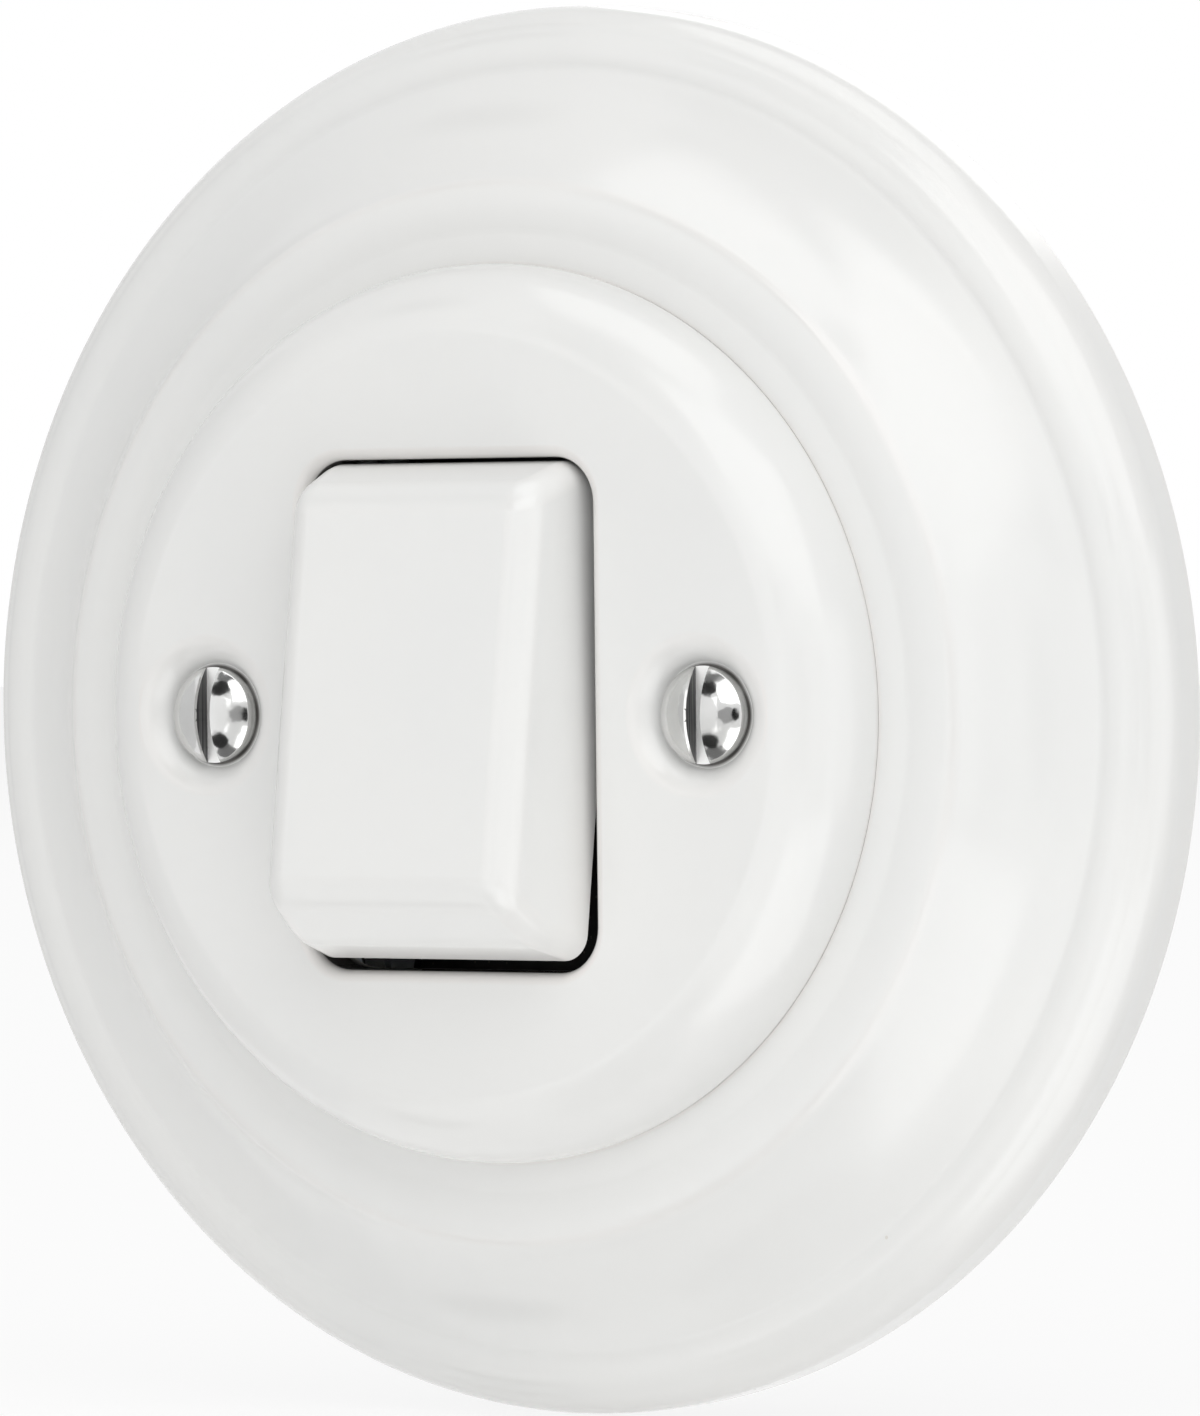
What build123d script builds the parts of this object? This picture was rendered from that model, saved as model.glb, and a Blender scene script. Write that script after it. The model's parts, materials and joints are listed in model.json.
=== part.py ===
from build123d import *
from math import cos, radians, sin
import os

# Round porcelain rocker switch for a flush wall box.
# X runs right, Z up, the front faces -Y and the wall is the plane y = 0.
# A height is a distance in front of the wall, so it lies at y = -height.

# Outer porcelain frame
FRAME_R = 50.0
FOOT_CHAMFER = 0.4
FOOT_WIDTH = 4.8
RIM_SIDE_H = 2.7
RIM_ROUND = 2.7
RIM_SWEEP = 65.0
BAND_WIDTH = 2.9
BAND_RISE = 0.8
BAND_CROWN = 0.35
CAVETTO_DIP = 0.9
BEAD_WIDTH = 3.55
BEAD_FOOT_RISE = 0.75
BEAD_CREST_RISE = 0.8
LAND_WIDTH = 2.3
SEAT_H = 11.55
FRAME_BORE_R = 28.0
FLANGE_T = 4.6
SHELL_INNER_H = 7.2
SHELL_EDGE_H = 1.7
SHELL_TURN_WIDTH = 7.5

# Porcelain cover disc
DISC_R = 31.6
SHOULDER_R = 5.95
DISC_SIDE_H = 0.1
DISC_UNDER_R = 1.3
DISC_WALL = 4.2
SPIGOT_CLEARANCE = 0.4
SPIGOT_LENGTH = 3.75
SPIGOT_WALL = 3.0
OPENING_WIDTH = 24.2
OPENING_HEIGHT = 35.8
OPENING_CORNER_R = 3.2
OPENING_EDGE_ROUND = 0.9

# Cover screws, their dimples in the disc and the pillars that take them
SCREW_SPACING = 41.4
SCREW_HEAD_R = 3.4
SCREW_HEAD_SIDE = 0.8
SCREW_DOME_H = 1.25
SCREW_SLOT_WIDTH = 1.15
SCREW_SLOT_DEPTH = 1.7
SCREW_SHANK_R = 1.75
SCREW_ENGAGEMENT = 5.5
SCREW_HOLE_CLEARANCE = 0.35
DIMPLE_R = 5.6
DIMPLE_SEAT_R = 3.7
DIMPLE_DEPTH = 1.6
DIMPLE_BULGE = 0.15
DIMPLE_CUT_RISE = 0.5
BOSS_R = 4.2
BOSS_PILLAR_GAP = 0.3
PILLAR_R = 3.2
PILLAR_FLOOR = 0.6
PILLAR_RIVET_R = 2.6
THREAD_CLEARANCE = 0.05

# Porcelain rocker, tilted about the pivot pin
PIVOT_H = 14.3
REST_TILT = -8.0
CAP_FACE_REACH = 11.25
CAP_BASE_REACH = 2.2
CAP_GAP_X = 0.6
CAP_GAP_Z = 0.25
CAP_DRAFT_X = 1.3
CAP_DRAFT_Z = 3.2
CAP_BEVEL_REACH = 6.5
CAP_SKIRT_DRAFT_Z = 0.6
CAP_BEVEL_ROUND = 5.0
CAP_SIDE_ROUND = 2.2
CAP_END_ROUND = 2.0
CAP_INNER_CORNER_R = 1.3
CAP_WALL = 2.6
CAP_FACE_WALL = 3.0

# Steel support plate
PLATE_R = 36.5
PLATE_T = 1.2
PLATE_WINDOW_X = 26.0
PLATE_WINDOW_Z = 30.0
PLATE_WINDOW_CORNER_R = 2.0
BOX_SCREW_SPACING = 60.0
BOX_SLOT_R = 2.1
BOX_SLOT_LENGTH = 8.0

# Moulded bearing frame in front of the plate
BRIDGE_WIDTH = 33.0
BRIDGE_HEIGHT = 41.0
BRIDGE_CORNER_R = 4.0
BRIDGE_TOP = 2.5
BRIDGE_POCKET_H = 2.5
BRIDGE_POCKET_X = 18.0
BRIDGE_POCKET_Z = 26.0
CHEEK_T = 2.3
CHEEK_R = 2.6
CHEEK_FOOT = 9.0
CHEEK_GAP = 0.3
PIN_R = 1.25
PIN_PRESS_CLEARANCE = 0.02
PIN_RUN_CLEARANCE = 0.05

# Moulded rocker carrier with plunger and spring
HUB_WIDTH = 10.6
HUB_R = 3.2
PLUG_GAP = 0.4
PLUG_BASE_REACH = 3.4
TUBE_R = 3.1
TUBE_REACH = 10.5
TUBE_BORE_R = 2.1
TUBE_ROOF_REACH = 2.2
TUBE_SWING_GAP = 0.5
PLUNGER_CLEARANCE = 0.1
PLUNGER_LENGTH = 5.5
PLUNGER_REACH = 12.5
SPRING_WIRE_R = 0.3
SPRING_COIL_R = 1.6
SPRING_TURNS = 4.5
SPRING_END_GAP = 0.03

# Tilting contact arm
ARM_GAP = 0.12
ARM_WIDTH = 7.0
ARM_LENGTH = 21.0
ARM_T = 1.0
KNUCKLE_R = 0.9
KNUCKLE_WIDTH = 10.4
KNUCKLE_CLEARANCE = 0.05
TIP_R = 1.5
TIP_T = 0.6
TIP_Z = 8.5
CONTACT_GAP = 0.12

# Moulded base behind the plate
BASE_R = 26.5
BASE_WIDTH = 38.0
BASE_DEPTH = 15.0
CHAMBER_WIDTH = 15.0
CHAMBER_HEIGHT = 26.0
WELL_HEIGHT = 11.0
WELL_DEPTH = 8.0
POCKET_FLOOR = 4.0
POCKET_GAP = 0.2
RELIEF_WALL = 2.0
RELIEF_DEPTH = 5.5

# Contact strips, saddle and terminals
STRIP_WIDTH = 5.0
STRIP_T = 0.8
STRIP_GAP = 0.2
STRIP_INNER_Z = 6.5
LEG_LENGTH = 7.0
SADDLE_CHEEK_T = 1.0
SADDLE_CHEEK_GAP = 0.4
SADDLE_HEIGHT = 4.0
SADDLE_LIP = 0.3
TERMINAL_WIDTH = 7.0
TERMINAL_HEIGHT = 6.5
TERMINAL_LENGTH = 9.0
TERMINAL_SETBACK_Z = 9.2
TERMINAL_SETBACK_X = 6.8
WIRE_BORE_R = 1.6
CLAMP_SCREW_R = 1.4
CLAMP_SCREW_TIP_GAP = 0.2
CLAMP_SCREW_LIFT = 0.8
CLAMP_HEAD_R = 2.3
CLAMP_HEAD_T = 1.5
CLAMP_SLOT_WIDTH = 0.8
CLAMP_SLOT_DEPTH = 0.7

# Screws that hold bearing frame, plate and base together
BASE_SCREW_EDGE = 3.0
BASE_SCREW_R = 1.2
BASE_SCREW_HOLE_CLEARANCE = 0.15
BASE_SCREW_GRIP = 8.0
BASE_HEAD_R = 2.2
BASE_HEAD_T = 1.5
BASE_HEAD_SINK = 1.0
BASE_HEAD_GAP = 0.25

# Smallest distance that tells two places apart
PLACE_TOL = 0.01

# Places worked out from the sizes above
PIVOT_Y = -PIVOT_H
DISC_SIDE_LOW_H = SEAT_H + DISC_UNDER_R
DISC_SIDE_TOP_H = DISC_SIDE_LOW_H + DISC_SIDE_H
FACE_H = DISC_SIDE_TOP_H + SHOULDER_R
OPENING_X = OPENING_WIDTH / 2
OPENING_Z = OPENING_HEIGHT / 2
SCREW_X = SCREW_SPACING / 2
SPIGOT_R = FRAME_BORE_R - SPIGOT_CLEARANCE
SCREW_SEAT_H = FACE_H - DIMPLE_DEPTH
PILLAR_TOP_H = SEAT_H - SPIGOT_LENGTH - BOSS_PILLAR_GAP
BRIDGE_FRONT_H = PLATE_T + BRIDGE_POCKET_H + BRIDGE_TOP
CHEEK_INNER_X = HUB_WIDTH / 2 + CHEEK_GAP
CHEEK_OUTER_X = CHEEK_INNER_X + CHEEK_T
PLUNGER_R = TUBE_BORE_R - PLUNGER_CLEARANCE
ARM_PIVOT_H = PIVOT_H - PLUNGER_REACH - ARM_GAP - ARM_T
ARM_PIVOT_Y = -ARM_PIVOT_H
ARM_REST_TILT = -REST_TILT
CAP_BASE_X = OPENING_X - CAP_GAP_X
REST_RISE = CAP_BASE_REACH * sin(radians(abs(REST_TILT)))
CAP_BASE_Z = (OPENING_Z - CAP_GAP_Z - REST_RISE) / cos(radians(REST_TILT))
CAP_FACE_X = CAP_BASE_X - CAP_DRAFT_X
CAP_FACE_Z = CAP_BASE_Z - CAP_DRAFT_Z
CAP_BEVEL_Z = CAP_BASE_Z - CAP_SKIRT_DRAFT_Z
CAP_CEILING_REACH = CAP_FACE_REACH - CAP_FACE_WALL
TIP_EDGE = TIP_Z + TIP_R
TIP_EDGE_DEPTH = TIP_T * cos(radians(REST_TILT)) + TIP_EDGE * sin(radians(abs(REST_TILT)))
FIXED_TIP_Y = ARM_PIVOT_Y + TIP_EDGE_DEPTH + CONTACT_GAP
STRIP_Y = FIXED_TIP_Y + TIP_T
LEDGE_Y = STRIP_Y + STRIP_T
TERMINAL_REACH_Z = BASE_R - TERMINAL_SETBACK_Z
TERMINAL_REACH_X = BASE_WIDTH / 2 - TERMINAL_SETBACK_X
BASE_SCREW_X = BRIDGE_WIDTH / 2 - BASE_SCREW_EDGE
BASE_SCREW_Z = BRIDGE_HEIGHT / 2 - BASE_SCREW_EDGE


def at(radius, height):
    """A point of a turned profile, at this radius and height off the wall."""
    return (radius, -height)


def turned(edges):
    """Turn a closed profile about the switch's axis."""
    return revolve(make_face(edges), Axis.Y)


def round_bar(radius, x, z, y0, y1):
    """A cylinder along Y between two depths."""
    plane = Plane(origin=(x, y0, z), x_dir=(1, 0, 0), z_dir=(0, 1, 0))
    return extrude(plane * Circle(radius), y1 - y0)


def bar_x(radius, length, y, z):
    """A cylinder along X, centred on x = 0."""
    plane = Plane(origin=(-length / 2, y, z), x_dir=(0, 1, 0), z_dir=(1, 0, 0))
    return extrude(plane * Circle(radius), length)


def block(x0, x1, y0, y1, z0, z1):
    """A box between two corners."""
    size = Box(x1 - x0, y1 - y0, z1 - z0)
    return Pos((x0 + x1) / 2, (y0 + y1) / 2, (z0 + z1) / 2) * size


def rounded_block(width, height, corner, y0, y1):
    """A centred plate along Y with rounded upright corners."""
    plane = Plane(origin=(0, y0, 0), x_dir=(1, 0, 0), z_dir=(0, 1, 0))
    return extrude(plane * RectangleRounded(width, height, corner), y1 - y0)


def frustum(half_x0, half_z0, corner0, y0, half_x1, half_z1, corner1, y1):
    """A loft between two centred rounded rectangles at two depths."""
    sections = []
    for half_x, half_z, corner, y in (
        (half_x0, half_z0, corner0, y0),
        (half_x1, half_z1, corner1, y1),
    ):
        plane = Plane(origin=(0, y, 0), x_dir=(1, 0, 0), z_dir=(0, -1, 0))
        sections.append(plane * RectangleRounded(2 * half_x, 2 * half_z, corner))
    return loft(sections)


def tilted(shape, pivot_y, angle):
    """Turn a shape about an X axis at this depth and z = 0."""
    return Pos(0, pivot_y, 0) * Rot(angle, 0, 0) * Pos(0, -pivot_y, 0) * shape


def make_outer_frame():
    """Moulded ring: rounded rim, narrow band, broad hollow, top bead, flat land and hollow back."""
    rim_centre_r = FRAME_R - RIM_ROUND
    half_sweep = radians(RIM_SWEEP / 2)
    sweep = radians(RIM_SWEEP)
    rim_side = at(FRAME_R, RIM_SIDE_H)
    rim_mid = at(rim_centre_r + RIM_ROUND * cos(half_sweep), RIM_SIDE_H + RIM_ROUND * sin(half_sweep))
    crease_r = rim_centre_r + RIM_ROUND * cos(sweep)
    crease_h = RIM_SIDE_H + RIM_ROUND * sin(sweep)
    crease = at(crease_r, crease_h)
    band_end = at(crease_r - BAND_WIDTH, crease_h + BAND_RISE)
    bead_inner_r = DISC_R + LAND_WIDTH
    bead_outer_r = bead_inner_r + BEAD_WIDTH
    bead_foot = at(bead_outer_r, SEAT_H + BEAD_FOOT_RISE)
    bead_crest = at((bead_inner_r + bead_outer_r) / 2, SEAT_H + BEAD_CREST_RISE)
    bead_inner = at(bead_inner_r, SEAT_H)
    foot_inner_r = FRAME_R - FOOT_WIDTH
    back = Polyline(
        bead_inner,
        at(FRAME_BORE_R, SEAT_H),
        at(FRAME_BORE_R, SEAT_H - FLANGE_T),
        at(FRAME_BORE_R + SHELL_TURN_WIDTH, SHELL_INNER_H),
        at(foot_inner_r - SHELL_EDGE_H, SHELL_EDGE_H),
        at(foot_inner_r, 0),
        at(FRAME_R - FOOT_CHAMFER, 0),
        at(FRAME_R, FOOT_CHAMFER),
        rim_side,
    )
    front = [
        ThreePointArc(rim_side, rim_mid, crease),
        SagittaArc(crease, band_end, BAND_CROWN),
        SagittaArc(band_end, bead_foot, -CAVETTO_DIP),
        ThreePointArc(bead_foot, bead_crest, bead_inner),
    ]
    return turned([back, *front])


def make_cover_disc():
    """Disc with a round shoulder, hollow back, locating spigot, rocker opening and screw dimples."""
    half = sin(radians(45))
    flat_r = DISC_R - SHOULDER_R
    shoulder_mid = at(flat_r + SHOULDER_R * half, DISC_SIDE_TOP_H + SHOULDER_R * half)
    under_r = DISC_R - DISC_UNDER_R
    under_mid = at(under_r + DISC_UNDER_R * half, DISC_SIDE_LOW_H - DISC_UNDER_R * half)
    back_h = FACE_H - DISC_WALL
    rest = Polyline(
        at(under_r, SEAT_H),
        at(SPIGOT_R, SEAT_H),
        at(SPIGOT_R, SEAT_H - SPIGOT_LENGTH),
        at(SPIGOT_R - SPIGOT_WALL, SEAT_H - SPIGOT_LENGTH),
        at(SPIGOT_R - SPIGOT_WALL, back_h),
        at(0, back_h),
        at(0, FACE_H),
        at(flat_r, FACE_H),
    )
    front = [
        ThreePointArc(at(flat_r, FACE_H), shoulder_mid, at(DISC_R, DISC_SIDE_TOP_H)),
        Line(at(DISC_R, DISC_SIDE_TOP_H), at(DISC_R, DISC_SIDE_LOW_H)),
        ThreePointArc(at(DISC_R, DISC_SIDE_LOW_H), under_mid, at(under_r, SEAT_H)),
    ]
    disc = turned([rest, *front])
    boss_end_h = PILLAR_TOP_H + BOSS_PILLAR_GAP
    opening = rounded_block(OPENING_WIDTH, OPENING_HEIGHT, OPENING_CORNER_R, -FACE_H, -back_h)
    for side in (-1, 1):
        disc += round_bar(BOSS_R, side * SCREW_X, 0, -back_h, -boss_end_h)
    disc -= opening
    face_edges = disc.edges().filter_by_position(Axis.Y, -FACE_H, -FACE_H, inclusive=(True, True))
    rim = [e for e in face_edges if abs(e.center().X) < SCREW_X and e.length < 2 * OPENING_HEIGHT]
    disc = fillet(rim, OPENING_EDGE_ROUND)
    cut_top_h = FACE_H + DIMPLE_CUT_RISE
    dimple_floor = Polyline(
        at(DIMPLE_SEAT_R, SCREW_SEAT_H),
        at(0, SCREW_SEAT_H),
        at(0, cut_top_h),
        at(DIMPLE_R + DIMPLE_CUT_RISE, cut_top_h),
        at(DIMPLE_R, FACE_H),
    )
    dimple_wall = SagittaArc(at(DIMPLE_R, FACE_H), at(DIMPLE_SEAT_R, SCREW_SEAT_H), DIMPLE_BULGE)
    dimple = turned([dimple_floor, dimple_wall])
    hole_r = SCREW_SHANK_R + SCREW_HOLE_CLEARANCE
    for side in (-1, 1):
        disc -= Pos(side * SCREW_X, 0, 0) * dimple
        disc -= round_bar(hole_r, side * SCREW_X, 0, -FACE_H, -boss_end_h)
    return disc


def make_cover_screws():
    """Two round-head screws with upright slots."""
    head_h = SCREW_SEAT_H + SCREW_HEAD_SIDE
    apex_h = head_h + SCREW_DOME_H
    dome_r = (SCREW_HEAD_R**2 + SCREW_DOME_H**2) / (2 * SCREW_DOME_H)
    shank_end_h = PILLAR_TOP_H - SCREW_ENGAGEMENT
    profile = [
        Polyline(
            at(0, apex_h),
            at(0, shank_end_h),
            at(SCREW_SHANK_R, shank_end_h),
            at(SCREW_SHANK_R, SCREW_SEAT_H),
            at(SCREW_HEAD_R, SCREW_SEAT_H),
            at(SCREW_HEAD_R, head_h),
        ),
        RadiusArc(at(SCREW_HEAD_R, head_h), at(0, apex_h), dome_r),
    ]
    screw = turned(profile)
    slot_x = SCREW_SLOT_WIDTH / 2
    screw -= block(-slot_x, slot_x, -apex_h, SCREW_SLOT_DEPTH - apex_h, -SCREW_HEAD_R, SCREW_HEAD_R)
    return Compound(children=[Pos(side * SCREW_X, 0, 0) * screw for side in (-1, 1)])


def end_outline(cap, base_y):
    """The edges round both ends of the rocker, apart from those at its base."""
    ends = [f for f in cap.faces() if abs(f.center().Z) > CAP_FACE_Z]
    edges = [e for f in ends for e in f.edges() if e.center().Y < base_y - PLACE_TOL]
    return [e for e in edges if sum(e.is_same(other) for other in edges) == 1]


def make_rocker_cap():
    """Hollow porcelain rocker: drafted sides, broad round along them, bevelled ends, tilted to its rest."""
    face_y = PIVOT_Y - CAP_FACE_REACH
    bevel_y = PIVOT_Y - CAP_BEVEL_REACH
    base_y = PIVOT_Y - CAP_BASE_REACH
    ceiling_y = PIVOT_Y - CAP_CEILING_REACH
    across = make_face(
        Polyline(
            (-CAP_BASE_X, base_y),
            (-CAP_FACE_X, face_y),
            (CAP_FACE_X, face_y),
            (CAP_BASE_X, base_y),
            close=True,
        )
    )
    across = fillet(across.vertices().sort_by(Axis.Y)[:2], CAP_SIDE_ROUND)
    along = make_face(
        Polyline(
            (base_y, -CAP_BASE_Z),
            (bevel_y, -CAP_BEVEL_Z),
            (face_y, -CAP_FACE_Z),
            (face_y, CAP_FACE_Z),
            (bevel_y, CAP_BEVEL_Z),
            (base_y, CAP_BASE_Z),
            close=True,
        )
    )
    bends = [v for v in along.vertices() if abs(v.X - bevel_y) < PLACE_TOL]
    along = fillet(bends, CAP_BEVEL_ROUND)
    cap = extrude(across, CAP_BASE_Z, both=True) & extrude(Plane.YZ * along, CAP_BASE_X, both=True)
    cap = fillet(end_outline(cap, base_y), CAP_END_ROUND)
    mouth = (CAP_BASE_X - CAP_WALL, CAP_BASE_Z - CAP_WALL, CAP_INNER_CORNER_R, base_y)
    ceiling = (CAP_FACE_X - CAP_WALL, CAP_FACE_Z - CAP_WALL, CAP_INNER_CORNER_R, ceiling_y)
    cap -= frustum(*mouth, *ceiling)
    return tilted(cap, PIVOT_Y, REST_TILT)


def make_support_plate():
    """Round steel plate with the insert's window, box-screw slots and pillar and screw holes."""
    plate = round_bar(PLATE_R, 0, 0, -PLATE_T, 0)
    plate -= rounded_block(PLATE_WINDOW_X, PLATE_WINDOW_Z, PLATE_WINDOW_CORNER_R, -PLATE_T, 0)
    slot_plane = Plane(origin=(0, -PLATE_T, 0), x_dir=(1, 0, 0), z_dir=(0, 1, 0))
    for side in (-1, 1):
        slot = Pos(side * BOX_SCREW_SPACING / 2, 0) * SlotOverall(BOX_SLOT_LENGTH, 2 * BOX_SLOT_R)
        plate -= extrude(slot_plane * slot, PLATE_T)
        plate -= round_bar(PILLAR_RIVET_R + THREAD_CLEARANCE, side * SCREW_X, 0, -PLATE_T, 0)
    hole_r = BASE_SCREW_R + BASE_SCREW_HOLE_CLEARANCE
    for x, z in base_screw_places():
        plate -= round_bar(hole_r, x, z, -PLATE_T, 0)
    return plate


def base_screw_places():
    """The four places of the screws that hold the insert together."""
    return [(x * BASE_SCREW_X, z * BASE_SCREW_Z) for x in (-1, 1) for z in (-1, 1)]


def make_screw_pillars():
    """Two threaded pillars riveted into the plate."""
    pillars = []
    bore_r = SCREW_SHANK_R + THREAD_CLEARANCE
    for side in (-1, 1):
        pillar = round_bar(PILLAR_R, side * SCREW_X, 0, -PILLAR_TOP_H, -PLATE_T)
        pillar += round_bar(PILLAR_RIVET_R, side * SCREW_X, 0, -PLATE_T, 0)
        pillar -= round_bar(bore_r, side * SCREW_X, 0, -PILLAR_TOP_H, -PLATE_T - PILLAR_FLOOR)
        pillars.append(pillar)
    return Compound(children=pillars)


def make_bearing_frame():
    """Front bridge over the contact arm, with two cheeks that carry the pivot pin."""
    pocket_y = -PLATE_T - BRIDGE_POCKET_H
    bridge = rounded_block(BRIDGE_WIDTH, BRIDGE_HEIGHT, BRIDGE_CORNER_R, -BRIDGE_FRONT_H, -PLATE_T)
    pocket_x = BRIDGE_POCKET_X / 2
    pocket_z = BRIDGE_POCKET_Z / 2
    bridge -= block(-pocket_x, pocket_x, pocket_y, -PLATE_T, -pocket_z, pocket_z)
    window_x = TUBE_R + TUBE_SWING_GAP
    window_z = window_x + TUBE_REACH * sin(radians(abs(REST_TILT)))
    bridge -= block(-window_x, window_x, -BRIDGE_FRONT_H, pocket_y, -window_z, window_z)
    foot = CHEEK_FOOT / 2
    lean = Polyline(
        (-BRIDGE_FRONT_H, -foot),
        (PIVOT_Y, -CHEEK_R),
        (PIVOT_Y, CHEEK_R),
        (-BRIDGE_FRONT_H, foot),
        close=True,
    )
    cheek_plane = Plane(origin=(CHEEK_INNER_X, 0, 0), x_dir=(0, 1, 0), z_dir=(1, 0, 0))
    cheek_face = make_face(lean) + Pos(PIVOT_Y, 0) * Circle(CHEEK_R)
    cheek = extrude(cheek_plane * cheek_face, CHEEK_T)
    bridge += cheek
    bridge += mirror(cheek, Plane.YZ)
    bridge -= bar_x(PIN_R + PIN_PRESS_CLEARANCE, 2 * CHEEK_OUTER_X, PIVOT_Y, 0)
    hole_r = BASE_SCREW_R + BASE_SCREW_HOLE_CLEARANCE
    for x, z in base_screw_places():
        bridge -= round_bar(hole_r, x, z, -BRIDGE_FRONT_H, -PLATE_T)
        sink_y = BASE_HEAD_SINK - BRIDGE_FRONT_H
        bridge -= round_bar(BASE_HEAD_R + BASE_HEAD_GAP, x, z, -BRIDGE_FRONT_H, sink_y)
    return bridge


def make_base_screws():
    """Four cheese-head screws from the bridge through the plate into the base."""
    screws = []
    seat_y = BASE_HEAD_SINK - BRIDGE_FRONT_H
    slot_x = CLAMP_SLOT_WIDTH / 2
    for x, z in base_screw_places():
        head_y = seat_y - BASE_HEAD_T
        screw = round_bar(BASE_HEAD_R, x, z, head_y, seat_y)
        screw += round_bar(BASE_SCREW_R, x, z, seat_y, BASE_SCREW_GRIP)
        slot_end = head_y + CLAMP_SLOT_DEPTH
        screw -= block(x - slot_x, x + slot_x, head_y, slot_end, z - BASE_HEAD_R, z + BASE_HEAD_R)
        screws.append(screw)
    return Compound(children=screws)


def make_pivot_pin():
    """Steel pin across the two cheeks."""
    return bar_x(PIN_R, 2 * CHEEK_OUTER_X, PIVOT_Y, 0)


def make_rocker_carrier():
    """Carrier inside the cap: plug against the cap's ceiling, hub on the pin, plunger tube."""
    plug_x = CAP_FACE_X - CAP_WALL - PLUG_GAP
    plug_z = CAP_FACE_Z - CAP_WALL - PLUG_GAP
    ceiling_y = PIVOT_Y - CAP_CEILING_REACH
    plug_y = PIVOT_Y - PLUG_BASE_REACH
    carrier = rounded_block(2 * plug_x, 2 * plug_z, CAP_INNER_CORNER_R, ceiling_y, plug_y)
    hub_x = HUB_WIDTH / 2
    carrier += block(-hub_x, hub_x, plug_y, PIVOT_Y, -HUB_R, HUB_R)
    carrier += bar_x(HUB_R, HUB_WIDTH, PIVOT_Y, 0)
    carrier += round_bar(TUBE_R, 0, 0, PIVOT_Y, PIVOT_Y + TUBE_REACH)
    carrier -= round_bar(TUBE_BORE_R, 0, 0, PIVOT_Y + TUBE_ROOF_REACH, PIVOT_Y + TUBE_REACH)
    carrier -= bar_x(PIN_R + PIN_RUN_CLEARANCE, HUB_WIDTH, PIVOT_Y, 0)
    return tilted(carrier, PIVOT_Y, REST_TILT)


def make_plunger():
    """Plunger with a ball nose, in the carrier's tube."""
    tip_y = PIVOT_Y + PLUNGER_REACH
    nose_y = tip_y - PLUNGER_R
    plunger = round_bar(PLUNGER_R, 0, 0, tip_y - PLUNGER_LENGTH, nose_y)
    plunger += Pos(0, nose_y, 0) * Sphere(PLUNGER_R)
    return tilted(plunger, PIVOT_Y, REST_TILT)


def make_plunger_spring():
    """Coil spring between the tube's roof and the plunger."""
    roof_y = PIVOT_Y + TUBE_ROOF_REACH
    tail_y = PIVOT_Y + PLUNGER_REACH - PLUNGER_LENGTH
    end = SPRING_WIRE_R + SPRING_END_GAP
    height = tail_y - roof_y - 2 * end
    line = Helix(pitch=height / SPRING_TURNS, height=height, radius=SPRING_COIL_R)
    section = Plane(origin=line @ 0, z_dir=line % 0) * Circle(SPRING_WIRE_R)
    coil = sweep(section, path=line, is_frenet=True)
    placed = Pos(0, roof_y + end, 0) * Rot(-90, 0, 0) * coil
    return tilted(placed, PIVOT_Y, REST_TILT)


def make_contact_rocker():
    """Flat contact arm that tilts on a round knuckle."""
    front_y = ARM_PIVOT_Y - ARM_T
    arm = block(-ARM_WIDTH / 2, ARM_WIDTH / 2, front_y, ARM_PIVOT_Y, -ARM_LENGTH / 2, ARM_LENGTH / 2)
    arm += bar_x(KNUCKLE_R, KNUCKLE_WIDTH, ARM_PIVOT_Y, 0)
    return tilted(arm, ARM_PIVOT_Y, ARM_REST_TILT)


def make_moving_contact_tips():
    """Two contact tips on the back of the arm."""
    tips = []
    for side in (-1, 1):
        tip = round_bar(TIP_R, 0, side * TIP_Z, ARM_PIVOT_Y, ARM_PIVOT_Y + TIP_T)
        tips.append(tilted(tip, ARM_PIVOT_Y, ARM_REST_TILT))
    return Compound(children=tips)


def make_fixed_contact_tips():
    """Two contact tips on the strips, clear of the arm at both ends of its swing."""
    tips = [round_bar(TIP_R, 0, side * TIP_Z, FIXED_TIP_Y, STRIP_Y) for side in (-1, 1)]
    return Compound(children=tips)


def make_contact_strip(side):
    """Strip from a fixed contact to its terminal, bent back along the terminal's face."""
    half = STRIP_WIDTH / 2
    leg_end = POCKET_FLOOR + LEG_LENGTH
    run = block(-half, half, STRIP_Y, LEDGE_Y, STRIP_INNER_Z, TERMINAL_REACH_Z)
    leg = block(-half, half, STRIP_Y, leg_end, TERMINAL_REACH_Z - STRIP_T, TERMINAL_REACH_Z)
    strip = run + leg
    return strip if side > 0 else mirror(strip, Plane.XY)


def make_contact_saddle():
    """Saddle with two notched cheeks for the arm's knuckle, and its strip to the common terminal."""
    inner_x = ARM_WIDTH / 2 + SADDLE_CHEEK_GAP
    outer_x = inner_x + SADDLE_CHEEK_T
    half_z = SADDLE_HEIGHT / 2
    floor_y = WELL_DEPTH - STRIP_T
    lip_y = ARM_PIVOT_Y - SADDLE_LIP
    saddle = block(-outer_x, TERMINAL_REACH_X, floor_y, WELL_DEPTH, -half_z, half_z)
    for x0, x1 in ((-outer_x, -inner_x), (inner_x, outer_x)):
        saddle += block(x0, x1, lip_y, floor_y, -half_z, half_z)
    notch_r = KNUCKLE_R + KNUCKLE_CLEARANCE
    saddle -= bar_x(notch_r, 2 * outer_x, ARM_PIVOT_Y, 0)
    saddle -= block(-outer_x, outer_x, lip_y, ARM_PIVOT_Y, -notch_r, notch_r)
    leg_end = POCKET_FLOOR + LEG_LENGTH
    leg_x = TERMINAL_REACH_X - STRIP_T
    saddle += block(leg_x, TERMINAL_REACH_X, POCKET_FLOOR, leg_end, -half_z, half_z)
    return saddle


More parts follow.
